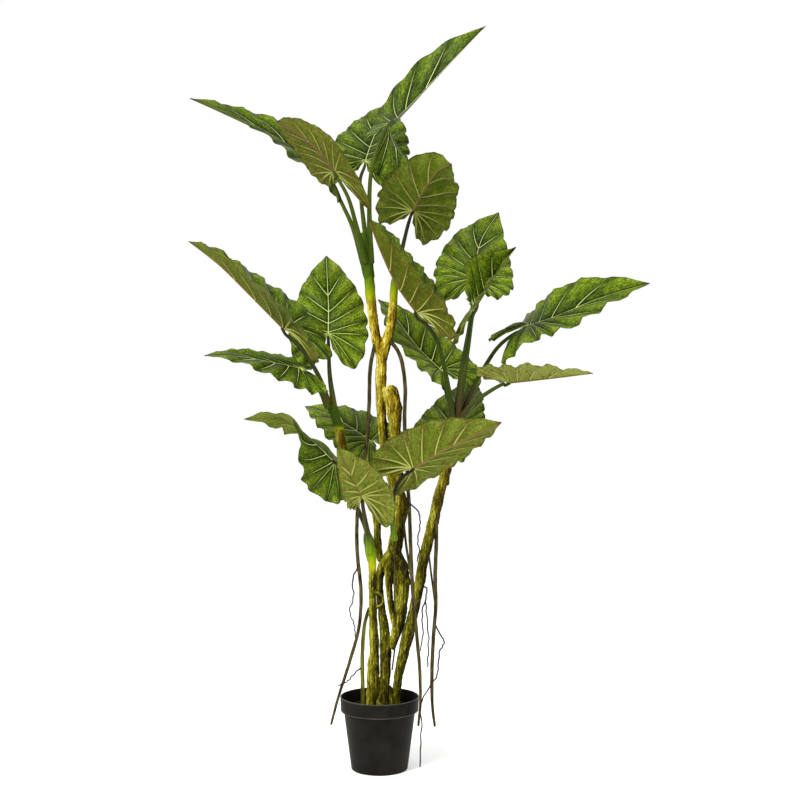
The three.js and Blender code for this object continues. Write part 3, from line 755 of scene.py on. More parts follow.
@dataclass(frozen=True)
class PotFinish:
    """Injection-moulded black polypropylene: an even satin black with a faint grained sheen.

    The lip and the band's lower edge, at the heights in edges, carry a painted highlight: a thin paler
    ring, patchy with the cloud, that stands in for light caught on these edges. Its two distances in
    millimetres say how far from an edge the painted highlight starts to fade and where it is gone.
    """

    colour: str = "#0d0c08"
    worn: str = "#1c1a14"
    painted_highlight: str = "#6b675b"
    edges: tuple[float, float] = (173.0, 139.5)
    highlight_mm: tuple[float, float] = (0.4, 2.2)
    highlight_share: float = 0.7
    roughness: tuple[float, float] = (0.42, 0.62)
    gloss: float = 0.06
    grain_mm: float = 0.9
    cloud_mm: float = 45.0

    def material(self) -> Material:
        """The pot's material. The grain is coarser than real, so that it shows at all."""
        material, tree = empty_material("moulded_polypropylene")
        place = node(tree, "TexCoord", output="Object")
        grain, cloud = (
            node(tree, "TexNoise", {"Vector": place, "Scale": 1 / (size * MM), "Detail": detail})
            for size, detail in ((self.grain_mm, 2.0), (self.cloud_mm, 4.0))
        )
        height = node(tree, "SeparateXYZ", (place,), output="Z")
        start, end = self.highlight_mm
        colour = node(tree, "ValToRGB", (cloud,), stops=((0.35, self.colour), (0.75, self.worn)))
        # Painted highlight: a thin paler ring at each edge's height, patchy with the cloud, stands in for
        # light caught on the edge.
        for edge in self.edges:
            above = node(tree, "Math", (height, edge * MM), operation="SUBTRACT")
            far = node(tree, "Math", (above,), operation="ABSOLUTE")
            near = node(tree, "MapRange", (far, start * MM, end * MM, self.highlight_share, 0.0))
            share = node(tree, "Math", (near, cloud), operation="MULTIPLY")
            layers = {0: share, 6: colour, 7: linear(self.painted_highlight)}
            colour = node(tree, "Mix", layers, output=2, data_type="RGBA")
        roughness = node(tree, "MapRange", (cloud, 0, 1, *self.roughness))
        finish_material(tree, colour, roughness, self.gloss, (grain, 0.12, 0.2))
        return material


@dataclass(frozen=True)
class FillFinish:
    """Damp dark fill with moss on it: matt, crumbly, green in patches."""

    soil: str = "#070502"
    moss: str = "#262d07"
    roughness: float = 0.95
    gloss: float = 0.1
    crumb_mm: float = 5.0

    def material(self) -> Material:
        """The fill's material."""
        material, tree = empty_material("mossy_fill")
        place = node(tree, "TexCoord", output="Object")
        crumb = node(tree, "TexNoise", {"Vector": place, "Scale": 1 / (self.crumb_mm * MM), "Detail": 4.0})
        colour = node(tree, "ValToRGB", (crumb,), stops=((0.45, self.soil), (0.7, self.moss)))
        finish_material(tree, colour, self.roughness, self.gloss, (crumb, 1.0, 2.0))
        return material


def swept_tube(
    route: Array | tuple, radii: Array | tuple, sides: int, step: float, uneven: float, seed: int = 0
) -> tuple[Array, Array, Array]:
    """Carries a round profile along a curve, with both ends rounded off and closed.

    The curve is cut into equal steps of its length. The radius runs from each given one to the next, and
    is made uneven by the sum of the tube waves, each a wave that turns round the profile and drifts along
    the curve, times one that fades it in and out along the curve, times its share. The profile lies in
    the plane square to the curve, and its zero angle leans to the axis that the curve follows least. Over
    the last radius at each end it shrinks as a quarter circle.

    Args:
        route: the curve's points, one a row.
        radii: radii spread evenly along it.
        sides: how many sides the profile has.
        step: the length of a step.
        uneven: how far the waves reach, in radii.
        seed: picks the waves' phases.

    Returns:
        Points, triangles, and each point's place on the skin: two coordinates across the profile and the
        length run along the curve, all in millimetres.
    """
    route, radii = np.asarray(route, float), np.asarray(radii, float)
    fine = catmull(route, np.linspace(0, 1, LEG_SAMPLES * (len(route) - 1) + 1))
    run = np.concatenate([[0], np.cumsum(np.linalg.norm(np.diff(fine, axis=0), axis=1))])
    length = run[-1]
    even = np.linspace(0, 1, max(FEWEST_STEPS, int(length / step)) + 1)
    cap = min(LONGEST_CAP, radii[0] / length)
    ends = cap * (1 - np.cos(np.linspace(0, np.pi / 2, CAP_RINGS)))[:-1]
    t = np.unique(np.concatenate([ends, even[(even > cap) & (even < 1 - cap)], 1 - ends]))
    centre = np.stack([np.interp(t * length, run, fine[:, k]) for k in range(3)], axis=1)
    along = unit(np.gradient(centre, axis=0))
    least = np.eye(3)[np.argmin(np.abs(along).max(axis=0))]
    side = unit(least - (along @ least)[:, None] * along)
    front = np.cross(along, side)
    radius = np.interp(t, np.linspace(0, 1, len(radii)), radii)
    near_end = np.clip(np.minimum(t, 1 - t) / cap, 0, 1)
    radius = radius * np.sqrt(1 - (1 - near_end) ** 2)
    turn = np.linspace(0, 2 * np.pi, sides, endpoint=False)
    phases = np.random.default_rng(seed).uniform(0, 2 * np.pi, 2 * len(TUBE_WAVES))
    far = (t * length)[:, None]
    waves = sum(
        share * np.sin(turns * turn + far / drift + phases[2 * k]) * np.sin(far / fade + phases[2 * k + 1])
        for k, (turns, drift, fade, share) in enumerate(TUBE_WAVES)
    )
    reach = radius[:, None] * (1 + uneven * waves)
    ring = side[:, None] * np.cos(turn)[None, :, None] + front[:, None] * np.sin(turn)[None, :, None]
    points = (centre[:, None] + ring * reach[..., None]).reshape(-1, 3)
    skin = np.stack([reach * np.cos(turn), reach * np.sin(turn), far + 0 * turn], axis=-1).reshape(-1, 3)
    kept, triangles, _ = weld(points, grid_triangles(len(t), sides, closed=True))
    return points[kept], triangles, skin[kept]


def joined(parts: list[tuple[Array, Array]]) -> tuple[Array, Array]:
    """Puts several meshes' points and faces into one.

    Args:
        parts: points and faces of each.

    Returns:
        All the points, and all the faces with their numbers moved on.
    """
    starts = np.cumsum([0] + [len(points) for points, _ in parts[:-1]])
    faces = np.vstack([each + start for (_, each), start in zip(parts, starts)])
    return np.vstack([points for points, _ in parts]), faces


@dataclass
class Canopy:
    """All the leaves: their blades and stalks.

    margin holds a half blade's outline on its veins, from the sinus to the tip: the place along the
    midrib, the width out from it, and the place on the midrib where the vein starts. All three are
    shares of the blade's length and half width. A pair is a size at the midrib's or the blade's start
    and at its end.
    """

    leaves: dict[str, Leaf]
    finish: LeafFinish = LeafFinish()
    stalk_finish: StalkFinish = StalkFinish()
    margin: tuple[Point, ...] = (
        (-0.15, 0.11, 0), (-0.3, 0.4, 0), (-0.33, 0.68, 0), (-0.2, 0.91, 0), (-0.01, 1, 0),
        (0.18, 0.98, 0.02), (0.38, 0.88, 0.13), (0.58, 0.71, 0.28), (0.79, 0.42, 0.49), (1, 0, 1),
    )
    gap_columns: tuple[float, ...] = (
        0, 0.025, 0.06, 0.12, 0.22, 0.36, 0.5, 0.64, 0.78, 0.88, 0.94, 0.975,
    )
    rows: int = 20
    chords: int = 200
    seeds_per_leaf: int = 10
    lobe_length: float = 0.31
    lobe_turn: float = 0.1
    lobe_veins: float = 2.0
    flat_degrees: float = 0.01
    wave: float = 5.0
    wave_phase: float = 0.6
    quilt: float = 4.0
    scallop: float = 0.11
    lobe_scallop: float = 0.3
    notch: float = 0.45
    scallop_level: float = 0.8
    vein_bow: float = 1.15
    puff_to_midrib: float = 0.8
    calm_tip: float = 0.14
    calm_sinus: tuple[float, float] = (0.3, 6.0)
    frill: float = 1.6
    frills_per_gap: float = 2.5
    sway: float = 1.5
    sways_per_gap: float = 0.4
    crinkle: float = 0.45
    crinkle_waves: tuple[float, float] = (4.0, 9.0)
    thickness: tuple[float, float] = (1.1, 0.6)
    keel: tuple[float, float] = (3.6, 0.7)
    keel_width: tuple[float, float] = (3.6, 1.3)
    vein_ridge: float = 0.5
    vein_ridge_width: float = 1.2
    vein_width: tuple[float, float] = (1.6, 0.7)
    rib_width: tuple[float, float] = (2.6, 1.1)
    stalk_end: tuple[float, float] = (9.0, 3.2)
    stalk_bend: tuple[float, float] = (-11.0, 8.0)
    stalk_radii: tuple[float, ...] = (3.2, 4.3, 4.7, 5.4, 6.6, 8.2)
    stalk_sides: int = 20
    stalk_step: float = 4.0
    stalk_uneven: float = 0.02
    sharp_degrees: float = 70.0

    def midrib_frames(self, leaf: Leaf, s: Array) -> tuple[Array, Array, Array, Array]:
        """Places and directions on the midrib.

        along is the curve's slope, up is the face's direction made square to it, and out is along
        crossed with up. The face turns evenly into the tip's face.

        Args:
            leaf: the leaf.
            s: places from 0 at the stalk to 1 at the tip.

        Returns:
            The places, along, up and out.
        """
        curve = np.array(leaf.midrib, float)
        small = 1e-4
        along = unit(catmull(curve, s + small) - catmull(curve, s - small))
        face = np.array(leaf.face, float)
        up = between((face, np.array(leaf.tip_face or leaf.face, float)), s[..., None])
        up = unit(up - (up * along).sum(-1, keepdims=True) * along)
        return catmull(curve, s), along, up, np.cross(along, up)

    def midrib_length(self, leaf: Leaf) -> float:
        """The midrib's length, summed over short chords."""
        run = catmull(np.array(leaf.midrib, float), np.linspace(0, 1, self.chords + 1))
        return float(np.linalg.norm(np.diff(run, axis=0), axis=1).sum())

    def half_blade(self, leaf: Leaf, side: int, seed: int) -> dict[str, Array]:
        """One half of the upper surface, as a grid.

        u runs along the margin from the sinus to the tip and v from the midrib out to the margin. A point
        of the flat half is x along the midrib and w out from it: x goes from where its vein starts to the
        margin as v to the power of the vein's bow, and w is the margin's width times v. Both are drawn in
        a little between two veins, and less so in the lobe. Across, the half is an arc that starts at the
        fold's angle and bends by the curl. Behind the stalk the fold turns to the lobe's own, and the
        half is an arc that bends down by the droop. The blade puffs and crinkles between two veins, and
        waves, frills and sways grow with v and run along the margin. All of them fade out at the tip.

        Args:
            leaf: the leaf.
            side: 1 for the right half and -1 for the left.
            seed: picks the phases of the frill.

        Returns:
            Grids by name: points, uv, the distances from the nearest vein and from the midrib in
            millimetres, the place on the midrib, how full the blade puffs, and how far ahead x lies.
        """
        half = 0 if side < 0 else 1
        gaps = len(self.margin) - 1
        u = np.append((np.arange(gaps)[:, None] + np.array(self.gap_columns)).ravel() / gaps, 1.0)[:, None]
        v = np.linspace(0, 1, self.rows + 1)[None, :]
        vein = u * gaps
        rim = catmull(np.array(self.margin, float), u[:, 0])
        start = np.clip(rim[:, 2:3], 0, 1)
        kept, growth = self.calm_sinus
        fade = np.minimum(1, (1 - u) / self.calm_tip) * np.minimum(1, kept + u * growth)
        beyond = np.clip((vein - self.lobe_veins) / self.lobe_veins, self.lobe_scallop, 1)
        rounded = np.sqrt(np.cos(np.pi * vein) ** 2 + self.notch**2) - self.scallop_level
        scallop = 1 + self.scallop * beyond * fade * rounded
        x = start + (rim[:, :1] - start) * v**self.vein_bow * scallop
        x = np.where(x < 0, x * leaf.lobes[half], x)
        w = rim[:, 1:2] * v * scallop
        s = np.clip(x, 0, 1)
        place, along, up, out = self.midrib_frames(leaf, s)

        folds = (leaf.fold, leaf.tip_fold or leaf.fold, leaf.lobe_fold or leaf.fold)
        first, last, lobe = (pair[half] for pair in folds)
        in_lobe = np.clip(-x / (self.lobe_turn * leaf.lobes[half]), 0, 1)
        fold = np.radians(between((first, last), s) + (lobe - first) * in_lobe)
        curl = math.radians(leaf.curl[half] or self.flat_degrees)
        arc = leaf.half_width * leaf.breadth[half] / curl
        across = arc * (np.sin(fold + curl * w) - np.sin(fold))
        rise = arc * (np.cos(fold) - np.cos(fold + curl * w))

        length = self.midrib_length(leaf)
        back = np.maximum(0, -x) * length
        droop = math.radians(leaf.droop[half] or self.flat_degrees)
        bend = droop / (self.lobe_length * length * leaf.lobes[half])
        angle = (bend * back)[..., None]
        points = place - along * np.sin(angle) / bend - up * (1 - np.cos(angle)) / bend
        lift = up * np.cos(angle) - along * np.sin(angle)

        phases = np.random.default_rng(seed).uniform(0, 2 * np.pi, 3)
        circle = 2 * np.pi * vein
        ripple = self.wave * v**2 * np.cos(circle + self.wave_phase)
        ripple = ripple + self.frill * v**4 * np.sin(circle * self.frills_per_gap + phases[0])
        ripple = ripple + self.sway * v**2 * np.sin(circle * self.sways_per_gap + phases[1])
        fullness = np.sin(np.pi * v**self.puff_to_midrib)
        full = np.abs(np.sin(np.pi * vein)) + 0 * v
        puff = self.quilt * full * fullness
        along_vein, out_from_rib = self.crinkle_waves
        crinkle = self.crinkle * np.sin(circle * along_vein + out_from_rib * v + phases[2]) * fullness * full
        points = points + out * (side * across)[..., None]
        points = points + lift * (rise + (puff + crinkle - ripple) * fade)[..., None]

        flat = np.stack([x * length, w * leaf.half_width * leaf.breadth[half] + 0 * x], axis=-1)
        by_vein = np.gradient(flat, vein[:, 0], axis=0)
        by_v = np.gradient(flat, v[0], axis=1)
        turned = by_vein[..., 0] * by_v[..., 1] - by_vein[..., 1] * by_v[..., 0]
        spacing = np.abs(turned) / np.maximum(np.linalg.norm(by_v, axis=-1), 1e-6)
        vein_mm = np.abs(vein - np.round(vein)) * spacing
        rib_mm = np.hypot(np.minimum(flat[..., 0], 0), flat[..., 1])
        uv = np.stack(np.broadcast_arrays(side * (vein + 1), v), axis=-1)
        return {
            "points": points, "uv": uv, "vein_mm": vein_mm, "rib_mm": rib_mm, "place": s, "full": full,
            "ahead": x,
        }

    def blade(self, name: str, leaf: Leaf, seed: int, materials: list[Material]) -> bpy.types.Object:
        """A leaf's blade: the upper surface, an underside below it and a rim between them.

        The underside lies below the upper one along its normals by the blade's thickness, which thins to
        the margin, plus a ridge under the midrib and a lower one under each vein.

        Args:
            name: the leaf's name.
            leaf: the leaf.
            seed: picks the phases of the frill.
            materials: the upper side's and the underside's.

        Returns:
            The piece.
        """
        halves = [self.half_blade(leaf, side, seed + side + 1) for side in (-1, 1)]
        columns, rows = halves[0]["points"].shape[:2]
        right = grid_triangles(columns, rows, closed=False)
        triangles = np.vstack([right[:, ::-1], right + columns * rows])

        def stacked(key: str) -> Array:
            """One value of both halves, a row for each point."""
            return np.concatenate([each[key].reshape(columns * rows, -1) for each in halves])

        points, uv = stacked("points"), stacked("uv")
        first, merged, kept = weld(points, triangles)
        corner_uv = uv[triangles[kept]]
        upper = points[first]
        keys = ("vein_mm", "rib_mm", "place", "full", "ahead")
        vein_mm, rib_mm, place, full, ahead = (stacked(key)[first, 0] for key in keys)
        v = uv[first, 1]

        normals = np.zeros_like(upper)
        corner, second, third = (upper[merged[:, k]] for k in range(3))
        face_normals = np.cross(second - corner, third - corner)
        for k in range(3):
            np.add.at(normals, merged[:, k], face_normals)
        normals = unit(normals)
        keel = between(self.keel, place) * bump(rib_mm, between(self.keel_width, place))
        ridge = self.vein_ridge * bump(vein_mm, self.vein_ridge_width) * (1 - v)
        depth = between(self.thickness, v**3) + keel + ridge
        lower = upper - normals * depth[:, None]

        count = len(upper)
        edges = merged[:, [0, 1, 1, 2, 2, 0]].reshape(-1, 2)
        edge_uv = corner_uv[:, [0, 1, 1, 2, 2, 0]].reshape(-1, 2, 2)
        codes = edges[:, 0] * count + edges[:, 1]
        rim = ~np.isin(codes, edges[:, 1] * count + edges[:, 0])
        start, end = edges[rim].T
        start_uv, end_uv = edge_uv[rim, 0], edge_uv[rim, 1]
        walls = np.vstack([
            np.stack([start, start + count, end + count], 1),
            np.stack([start, end + count, end], 1),
        ])
        wall_uv = np.vstack([
            np.stack([start_uv, start_uv, end_uv], 1),
            np.stack([start_uv, end_uv, end_uv], 1),
        ])
        faces = np.vstack([merged, merged[:, ::-1] + count, walls])
        finish = np.repeat([0, 1, 0], [len(merged), len(merged), len(walls)])
        surface = {
            "vein": vein_mm / between(self.vein_width, v),
            "rib": rib_mm / between(self.rib_width, place),
            "tone": np.full(count, leaf.tone),
            "rust": np.full(count, leaf.rust),
            "puff": full,
            "ahead": ahead,
        }
        attributes = {title: np.tile(values, 2) for title, values in surface.items()}
        uvs = np.vstack([corner_uv, corner_uv[:, ::-1], wall_uv])
        mesh = mesh_from(f"blade_{name}", np.vstack([upper, lower]), faces, uvs, finish, attributes)
        mesh.set_sharp_from_angle(angle=math.radians(self.sharp_degrees))
        return object_from(f"blade_{name}", mesh, materials)

    def stalk(self, name: str, leaf: Leaf, material: Material) -> bpy.types.Object:
        """A leaf's stalk, which swells to a sheath at its foot and ends in the midrib's keel.

        Args:
            name: the leaf's name.
            leaf: the leaf.
            material: the stalk's material.

        Returns:
            The piece.
        """
        base, along, up, _ = (each[0] for each in self.midrib_frames(leaf, np.zeros(1)))
        side = 1 if leaf.stalk_over else -1
        top = [base + along * ahead + up * side * off for ahead, off in (self.stalk_end, self.stalk_bend)]
        points, triangles, skin = swept_tube(
            np.vstack([*top, leaf.stalk]), self.stalk_radii, self.stalk_sides, self.stalk_step,
            self.stalk_uneven,
        )
        palette = np.array([linear(colour) for colour in leaf.colours.value])
        stops = np.linspace(0, skin[:, 2].max(), len(palette))
        tint = np.stack([np.interp(skin[:, 2], stops, palette[:, k]) for k in range(4)], axis=1)
        mesh = mesh_from(f"stalk_{name}", points, triangles, attributes={"tint": tint, "skin": skin})
        return object_from(f"stalk_{name}", mesh, [material])

    def build(self) -> None:
        """Makes every blade and stalk, each in the place of its own node."""
        sides = [self.finish.upper(), self.finish.under()]
        skin = self.stalk_finish.material()
        for number, (name, leaf) in enumerate(self.leaves.items()):
            blade = self.blade(name, leaf, self.seeds_per_leaf * number, sides)
            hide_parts(f"leaf_blade_{name}")
            stalk = self.stalk(name, leaf, skin)
            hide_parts(f"leaf_stalk_{name}")
            LOG.info("leaf %s: %d points in its blade", name, len(blade.data.vertices))


@dataclass(frozen=True)
class Branch:
    """A round branch: its route and its radii from end to end, spread evenly along it."""

    route: tuple[Point, ...]
    radii: tuple[float, ...]


@dataclass(frozen=True)
class Stem:
    """One woody stem: its branches, how far its moss value is raised, a value that paints light as well as
    moss, and the heights over which it turns young.

    A sheath holds the feet of some stalks on a stem's end, and stands for no node of its own.
    """

    branches: tuple[Branch, ...]
    moss: float = 0.0
    young: tuple[float, float] | None = None
    sheath: bool = False


STEMS: dict[str, Stem] = {
    "stem_centre": Stem(
        (
            Branch(
                ((-28, 0, 1222), (-23, 0, 1148), (-16, 0, 1081), (-9, 0, 1035), (3, 0, 987), (3, 0, 908),
                 (8, 0, 812), (20, 0, 728), (49, 0, 644), (44, 0, 572), (32, 0, 509)),
                (12, 12, 12, 12, 13, 12, 11, 12, 16, 16, 19),
            ),
            Branch(
                ((35, 0, 519), (5, 2, 480), (0, 4, 430), (4, 4, 385), (11, 4, 335), (14, 2, 285),
                 (14, 0, 235), (12, 0, 180), (11, 0, 110)),
                (17, 10, 9, 10, 12.5, 13.5, 12, 11, 12),
            ),
            Branch(
                ((37, 4, 1180), (32, 4, 1113), (27, 3, 1064), (15, 0, 1016), (3, 0, 971)),
                (10, 10, 11, 12, 12),
            ),
            Branch(
                ((38, 0, 523), (55, -2, 462), (57, -4, 425), (52, -6, 380), (44, -8, 342), (36, -10, 308),
                 (31, -10, 284)),
                (14, 19, 16, 13, 15, 12, 6),
            ),
            Branch(
                ((28, -2, 510), (22, -8, 462), (25, -12, 408), (32, -14, 360), (42, -12, 334)),
                (12, 9, 8, 7, 7),
            ),
            Branch(((43, -2, 506), (41, -2, 450), (42, -4, 400), (42, -6, 356)), (9, 8, 7, 6)),
            Branch(((56, -6, 458), (68, -11, 451), (74, -12, 441)), (11, 8, 5)),
            Branch(((10, 0, 222), (5, -3, 192), (2, -5, 165), (2, -5, 120)), (11, 15, 22, 24)),
            Branch(((24, 6, 196), (27, 5, 172), (27, 4, 120)), (5, 11, 13)),
            Branch(
                ((24, -14, 920), (32, -14, 884), (37, -12, 841), (39, -8, 776), (47, 0, 680)),
                (17, 19, 13, 12, 12),
            ),
        ),
        moss=-0.02, young=(1112, 1205),
    ),
    "stem_side": Stem(
        (
            Branch(
                ((-117, 10, 876), (-101, 12, 824), (-89, 14, 768), (-66, 16, 710), (-32, 15, 656),
                 (-9, 12, 606), (-5, 9, 552), (2, 5, 492)),
                (12, 11, 10, 10, 10, 9, 8.5, 8.5),
            ),
        ),
        moss=-0.05, young=(812, 826),
    ),
    "stem_left": Stem(
        (
            Branch(
                ((-19, -10, 526), (-17, -10, 470), (-17, -10, 415), (-15, -12, 350), (-13, -13, 290),
                 (-15, -15, 235), (-16, -15, 180), (-17, -15, 110)),
                (11, 9, 9, 11, 11.5, 14.5, 16, 15),
            ),
            Branch(
                ((-12, -12, 426), (2, -16, 421), (9, -18, 409), (5, -16, 395), (-8, -12, 388)),
                (4, 3.4, 3.2, 3.2, 4),
            ),
        ),
        moss=0.02, young=(465, 570),
    ),
    "stem_right": Stem(
        (
            Branch(
                ((186, 0, 850), (179, 0, 797), (162, 0, 725), (140, 0, 644), (126, 0, 579), (109, 0, 516),
                 (98, 2, 451), (84, 4, 384), (68, 6, 320), (54, 8, 262), (43, 10, 204), (36, 11, 110)),
                (17, 13, 12, 13, 13, 12.5, 13, 12, 14.4, 12, 10, 10),
            ),
        ),
    ),
    "sheath_top": Stem(
        (
            Branch(
                ((-25, 0, 1168), (-27, 0, 1190), (-30, 0, 1210), (-34, 0, 1235), (-38, 0, 1260),
                 (-41, 0, 1288)),
                (11.8, 14, 16, 15.5, 14, 7),
            ),
        ),
        young=(1112, 1205), sheath=True,
    ),
    "sheath_left": Stem(
        (
            Branch(((-19, -10, 492), (-21, -10, 515), (-25, -11, 543), (-31, -12, 572)), (10, 12.5, 13, 7)),
        ),
        young=(465, 570), sheath=True,
    ),
}


@dataclass
class Stems:
    """The woody stems and their sheaths, each fused into one knobbly body."""

    stems: dict[str, Stem]
    finish: StemFinish = StemFinish()
    voxel: float = 2.2
    smoothing: int = 3
    sides: int = 28
    step: float = 4.0
    uneven: float = 0.07
    relief: float = 0.9
    relief_waves: tuple[float, ...] = (17, 11, 7.5, 5.2, 3.7)
    relief_drawn_out: float = 0.3
    relief_seed: int = 7
    young_relief: float = 0.2
    light_side: Point = (-0.95, -0.12, 0.3)

    def fused(self, name: str, points: Array, faces: Array) -> Mesh:
        """Melts overlapping tubes into one skin of small even faces, and smooths it.

        Args:
            name: the stem's name.
            points: the tubes' points.
            faces: their faces.

        Returns:
            The skin.
        """
        rough = bpy.data.objects.new("rough", mesh_from("rough", points, faces))
        bpy.context.scene.collection.objects.link(rough)
        melt = rough.modifiers.new("Melt", "REMESH")
        melt.mode = "VOXEL"
        melt.voxel_size = self.voxel * MM
        smooth = rough.modifiers.new("Smooth", "SMOOTH")
        smooth.iterations = self.smoothing
        bpy.context.view_layer.update()
        evaluated = rough.evaluated_get(bpy.context.evaluated_depsgraph_get())
        mesh = bpy.data.meshes.new_from_object(evaluated)
        mesh.name = name
        bpy.data.objects.remove(rough)
        return mesh

    def roughen(self, stem: Stem, mesh: Mesh) -> None:
        """Raises bark on a skin, and keeps how high each point lies, how far it faces the light and how young
        it is.

        The height is a sum of waves of the place, drawn out upwards and brought between 0 and 1. Each
        wave is the product of two sines plus half a third one, in axes turned at random. Points move
        along their normals by the height, less where the stem is young. Moss goes from 0 to 1 with how
        far the skin faces the light's side, plus the stem's own moss: it is painted light, which makes the
        side that faces the light lighter. Young goes from 0 to 1 over the stem's young heights.

        Args:
            stem: the stem.
            mesh: the skin, in metres.
        """
        count = len(mesh.vertices)
        points, normals = np.empty((2, count * 3), np.float32)
        mesh.vertices.foreach_get("co", points)
        mesh.vertex_normals.foreach_get("vector", normals)
        points, normals = points.reshape(-1, 3).astype(float), normals.reshape(-1, 3)
        drawn = points / MM * np.array([1, 1, self.relief_drawn_out])
        height = np.zeros(count)
        draws = np.random.default_rng(self.relief_seed)
        for wavelength in self.relief_waves:
            turn, _ = np.linalg.qr(draws.normal(size=(3, 3)))
            place = drawn @ turn * (2 * np.pi / wavelength) + draws.uniform(0, 6, 3)
            height += np.sin(place[:, 0]) * np.sin(place[:, 1]) + 0.5 * np.sin(place[:, 2])
        height = np.clip(0.5 + height / 6, 0, 1)
        # Painted light: the side that faces the light gets a higher moss value and so a lighter colour.
        moss = 0.5 + 0.5 * normals @ unit(np.array(self.light_side)) + stem.moss
        young = np.interp(points[:, 2] / MM, stem.young, (0, 1)) if stem.young else np.zeros(count)
        reach = self.relief * between((1.0, self.young_relief), np.clip(3 * young, 0, 1))
        points += normals * ((height - 0.5) * 2 * reach * MM)[:, None]
        mesh.vertices.foreach_set("co", points.astype(np.float32).ravel())
        put_attributes(mesh, {"relief": height, "moss": moss, "young": young})
        mesh.update()
        mesh.shade_smooth()

    def build(self) -> None:
        """Makes each stem in the place of its own node, and the sheaths that hold the stalks' feet."""
        bark = self.finish.material()
        for name, plan in self.stems.items():
            tubes = [
                swept_tube(branch.route, branch.radii, self.sides, self.step, self.uneven, seed)[:2]
                for seed, branch in enumerate(plan.branches)
            ]
            mesh = self.fused(f"bark_{name}", *joined(tubes))
            self.roughen(plan, mesh)
            stem = object_from(f"bark_{name}", mesh, [bark])
            if not plan.sheath:
                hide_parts(name)
            LOG.info("%s: %d points", name, len(mesh.vertices))


ROOTS: dict[str, tuple[Branch, ...]] = {
    "root_left": (
        Branch(
            ((-10, -4, 1022), (-22, -16, 961), (-25, -18, 870), (-30, -16, 789), (-44, -11, 693),
             (-53, -14, 610), (-53, -25, 522), (-44, -30, 427), (-49, -32, 342), (-72, -34, 257),
             (-98, -36, 176), (-115, -36, 112)),
            (4.6, 4.6, 4.5, 4.3, 4, 3),
        ),
        Branch(
            ((-50, -30, 492), (-63, -32, 456), (-62, -32, 413), (-70, -34, 380), (-60, -33, 349),
             (-57, -30, 318)),
            (1.5, 1.2, 1.1),
        ),
    ),
    "root_centre": (
        Branch(
            ((20, -4, 1034), (49, -6, 990), (61, -10, 920), (60, -10, 824), (66, -9, 717), (72, -22, 610),
             (75, -34, 513), (80, -40, 418), (89, -46, 325), (96, -52, 241), (97, -56, 171),
             (92, -56, 114)),
            (4.6, 4.6, 4.6, 4.5, 4.2, 3.1),
        ),
        Branch(((57, -12, 600), (65, -26, 528), (76, -37, 465)), (2.9, 2.9, 2.9)),
        Branch(
            ((71, -27, 639), (92, -26, 619), (97, -25, 591), (91, -26, 550), (95, -26, 527),
             (90, -28, 498)),
            (1.5, 1.2, 1.1),
        ),
    ),
    "root_right": (
        Branch(
            ((136, -4, 640), (136, -16, 549), (133, -22, 466), (134, -26, 393), (128, -29, 312),
             (125, -30, 230), (126, -30, 161), (132, -30, 106)),
            (4.6, 4.6, 4.6, 4.5, 4.2, 3.1),
        ),
        Branch(((116, -6, 534), (124, -16, 465), (133, -25, 397)), (2.4, 2.4, 2.4)),
        Branch(
            ((131, -28, 355), (144, -30, 327), (154, -32, 308), (142, -35, 282), (139, -38, 238),
             (120, -44, 203), (100, -64, 175), (99, -66, 105), (96, -64, 20)),
            (1.5, 1.3, 1.2),
        ),
    ),
    "root_prop": (
        Branch(
            ((-24, -12, 388), (-36, -18, 345), (-41, -20, 270), (-40, -20, 191), (-40, -20, 110)),
            (3.8, 4.6, 5, 5),
        ),
        Branch(((-41, -20, 249), (-61, -34, 231), (-77, -47, 216), (-98, -47, 207)), (1.5, 1.2, 1.1)),
    ),
}

STEM_WIRES: tuple[Branch, ...] = (
    Branch(
        ((97, 0, 440), (114, -4, 430), (109, -6, 404), (102, -12, 376), (104, -16, 334), (98, -20, 284)),
        (1.5, 1.3, 1.2),
    ),
    Branch(((109, -6, 404), (115, -10, 357), (117, -14, 286), (115, -20, 246)), (1.3, 1.2, 1.2)),
    Branch(
        ((38, -10, 560), (37, -20, 530), (37, -23, 480), (36, -23, 420), (38, -20, 360), (37, -15, 300),
         (30, -8, 236)),
        (2.1, 2.1, 2),
    ),
    Branch(((50, -18, 526), (56, -23, 498), (50, -24, 482), (64, -20, 458)), (1.2, 1.1)),
)


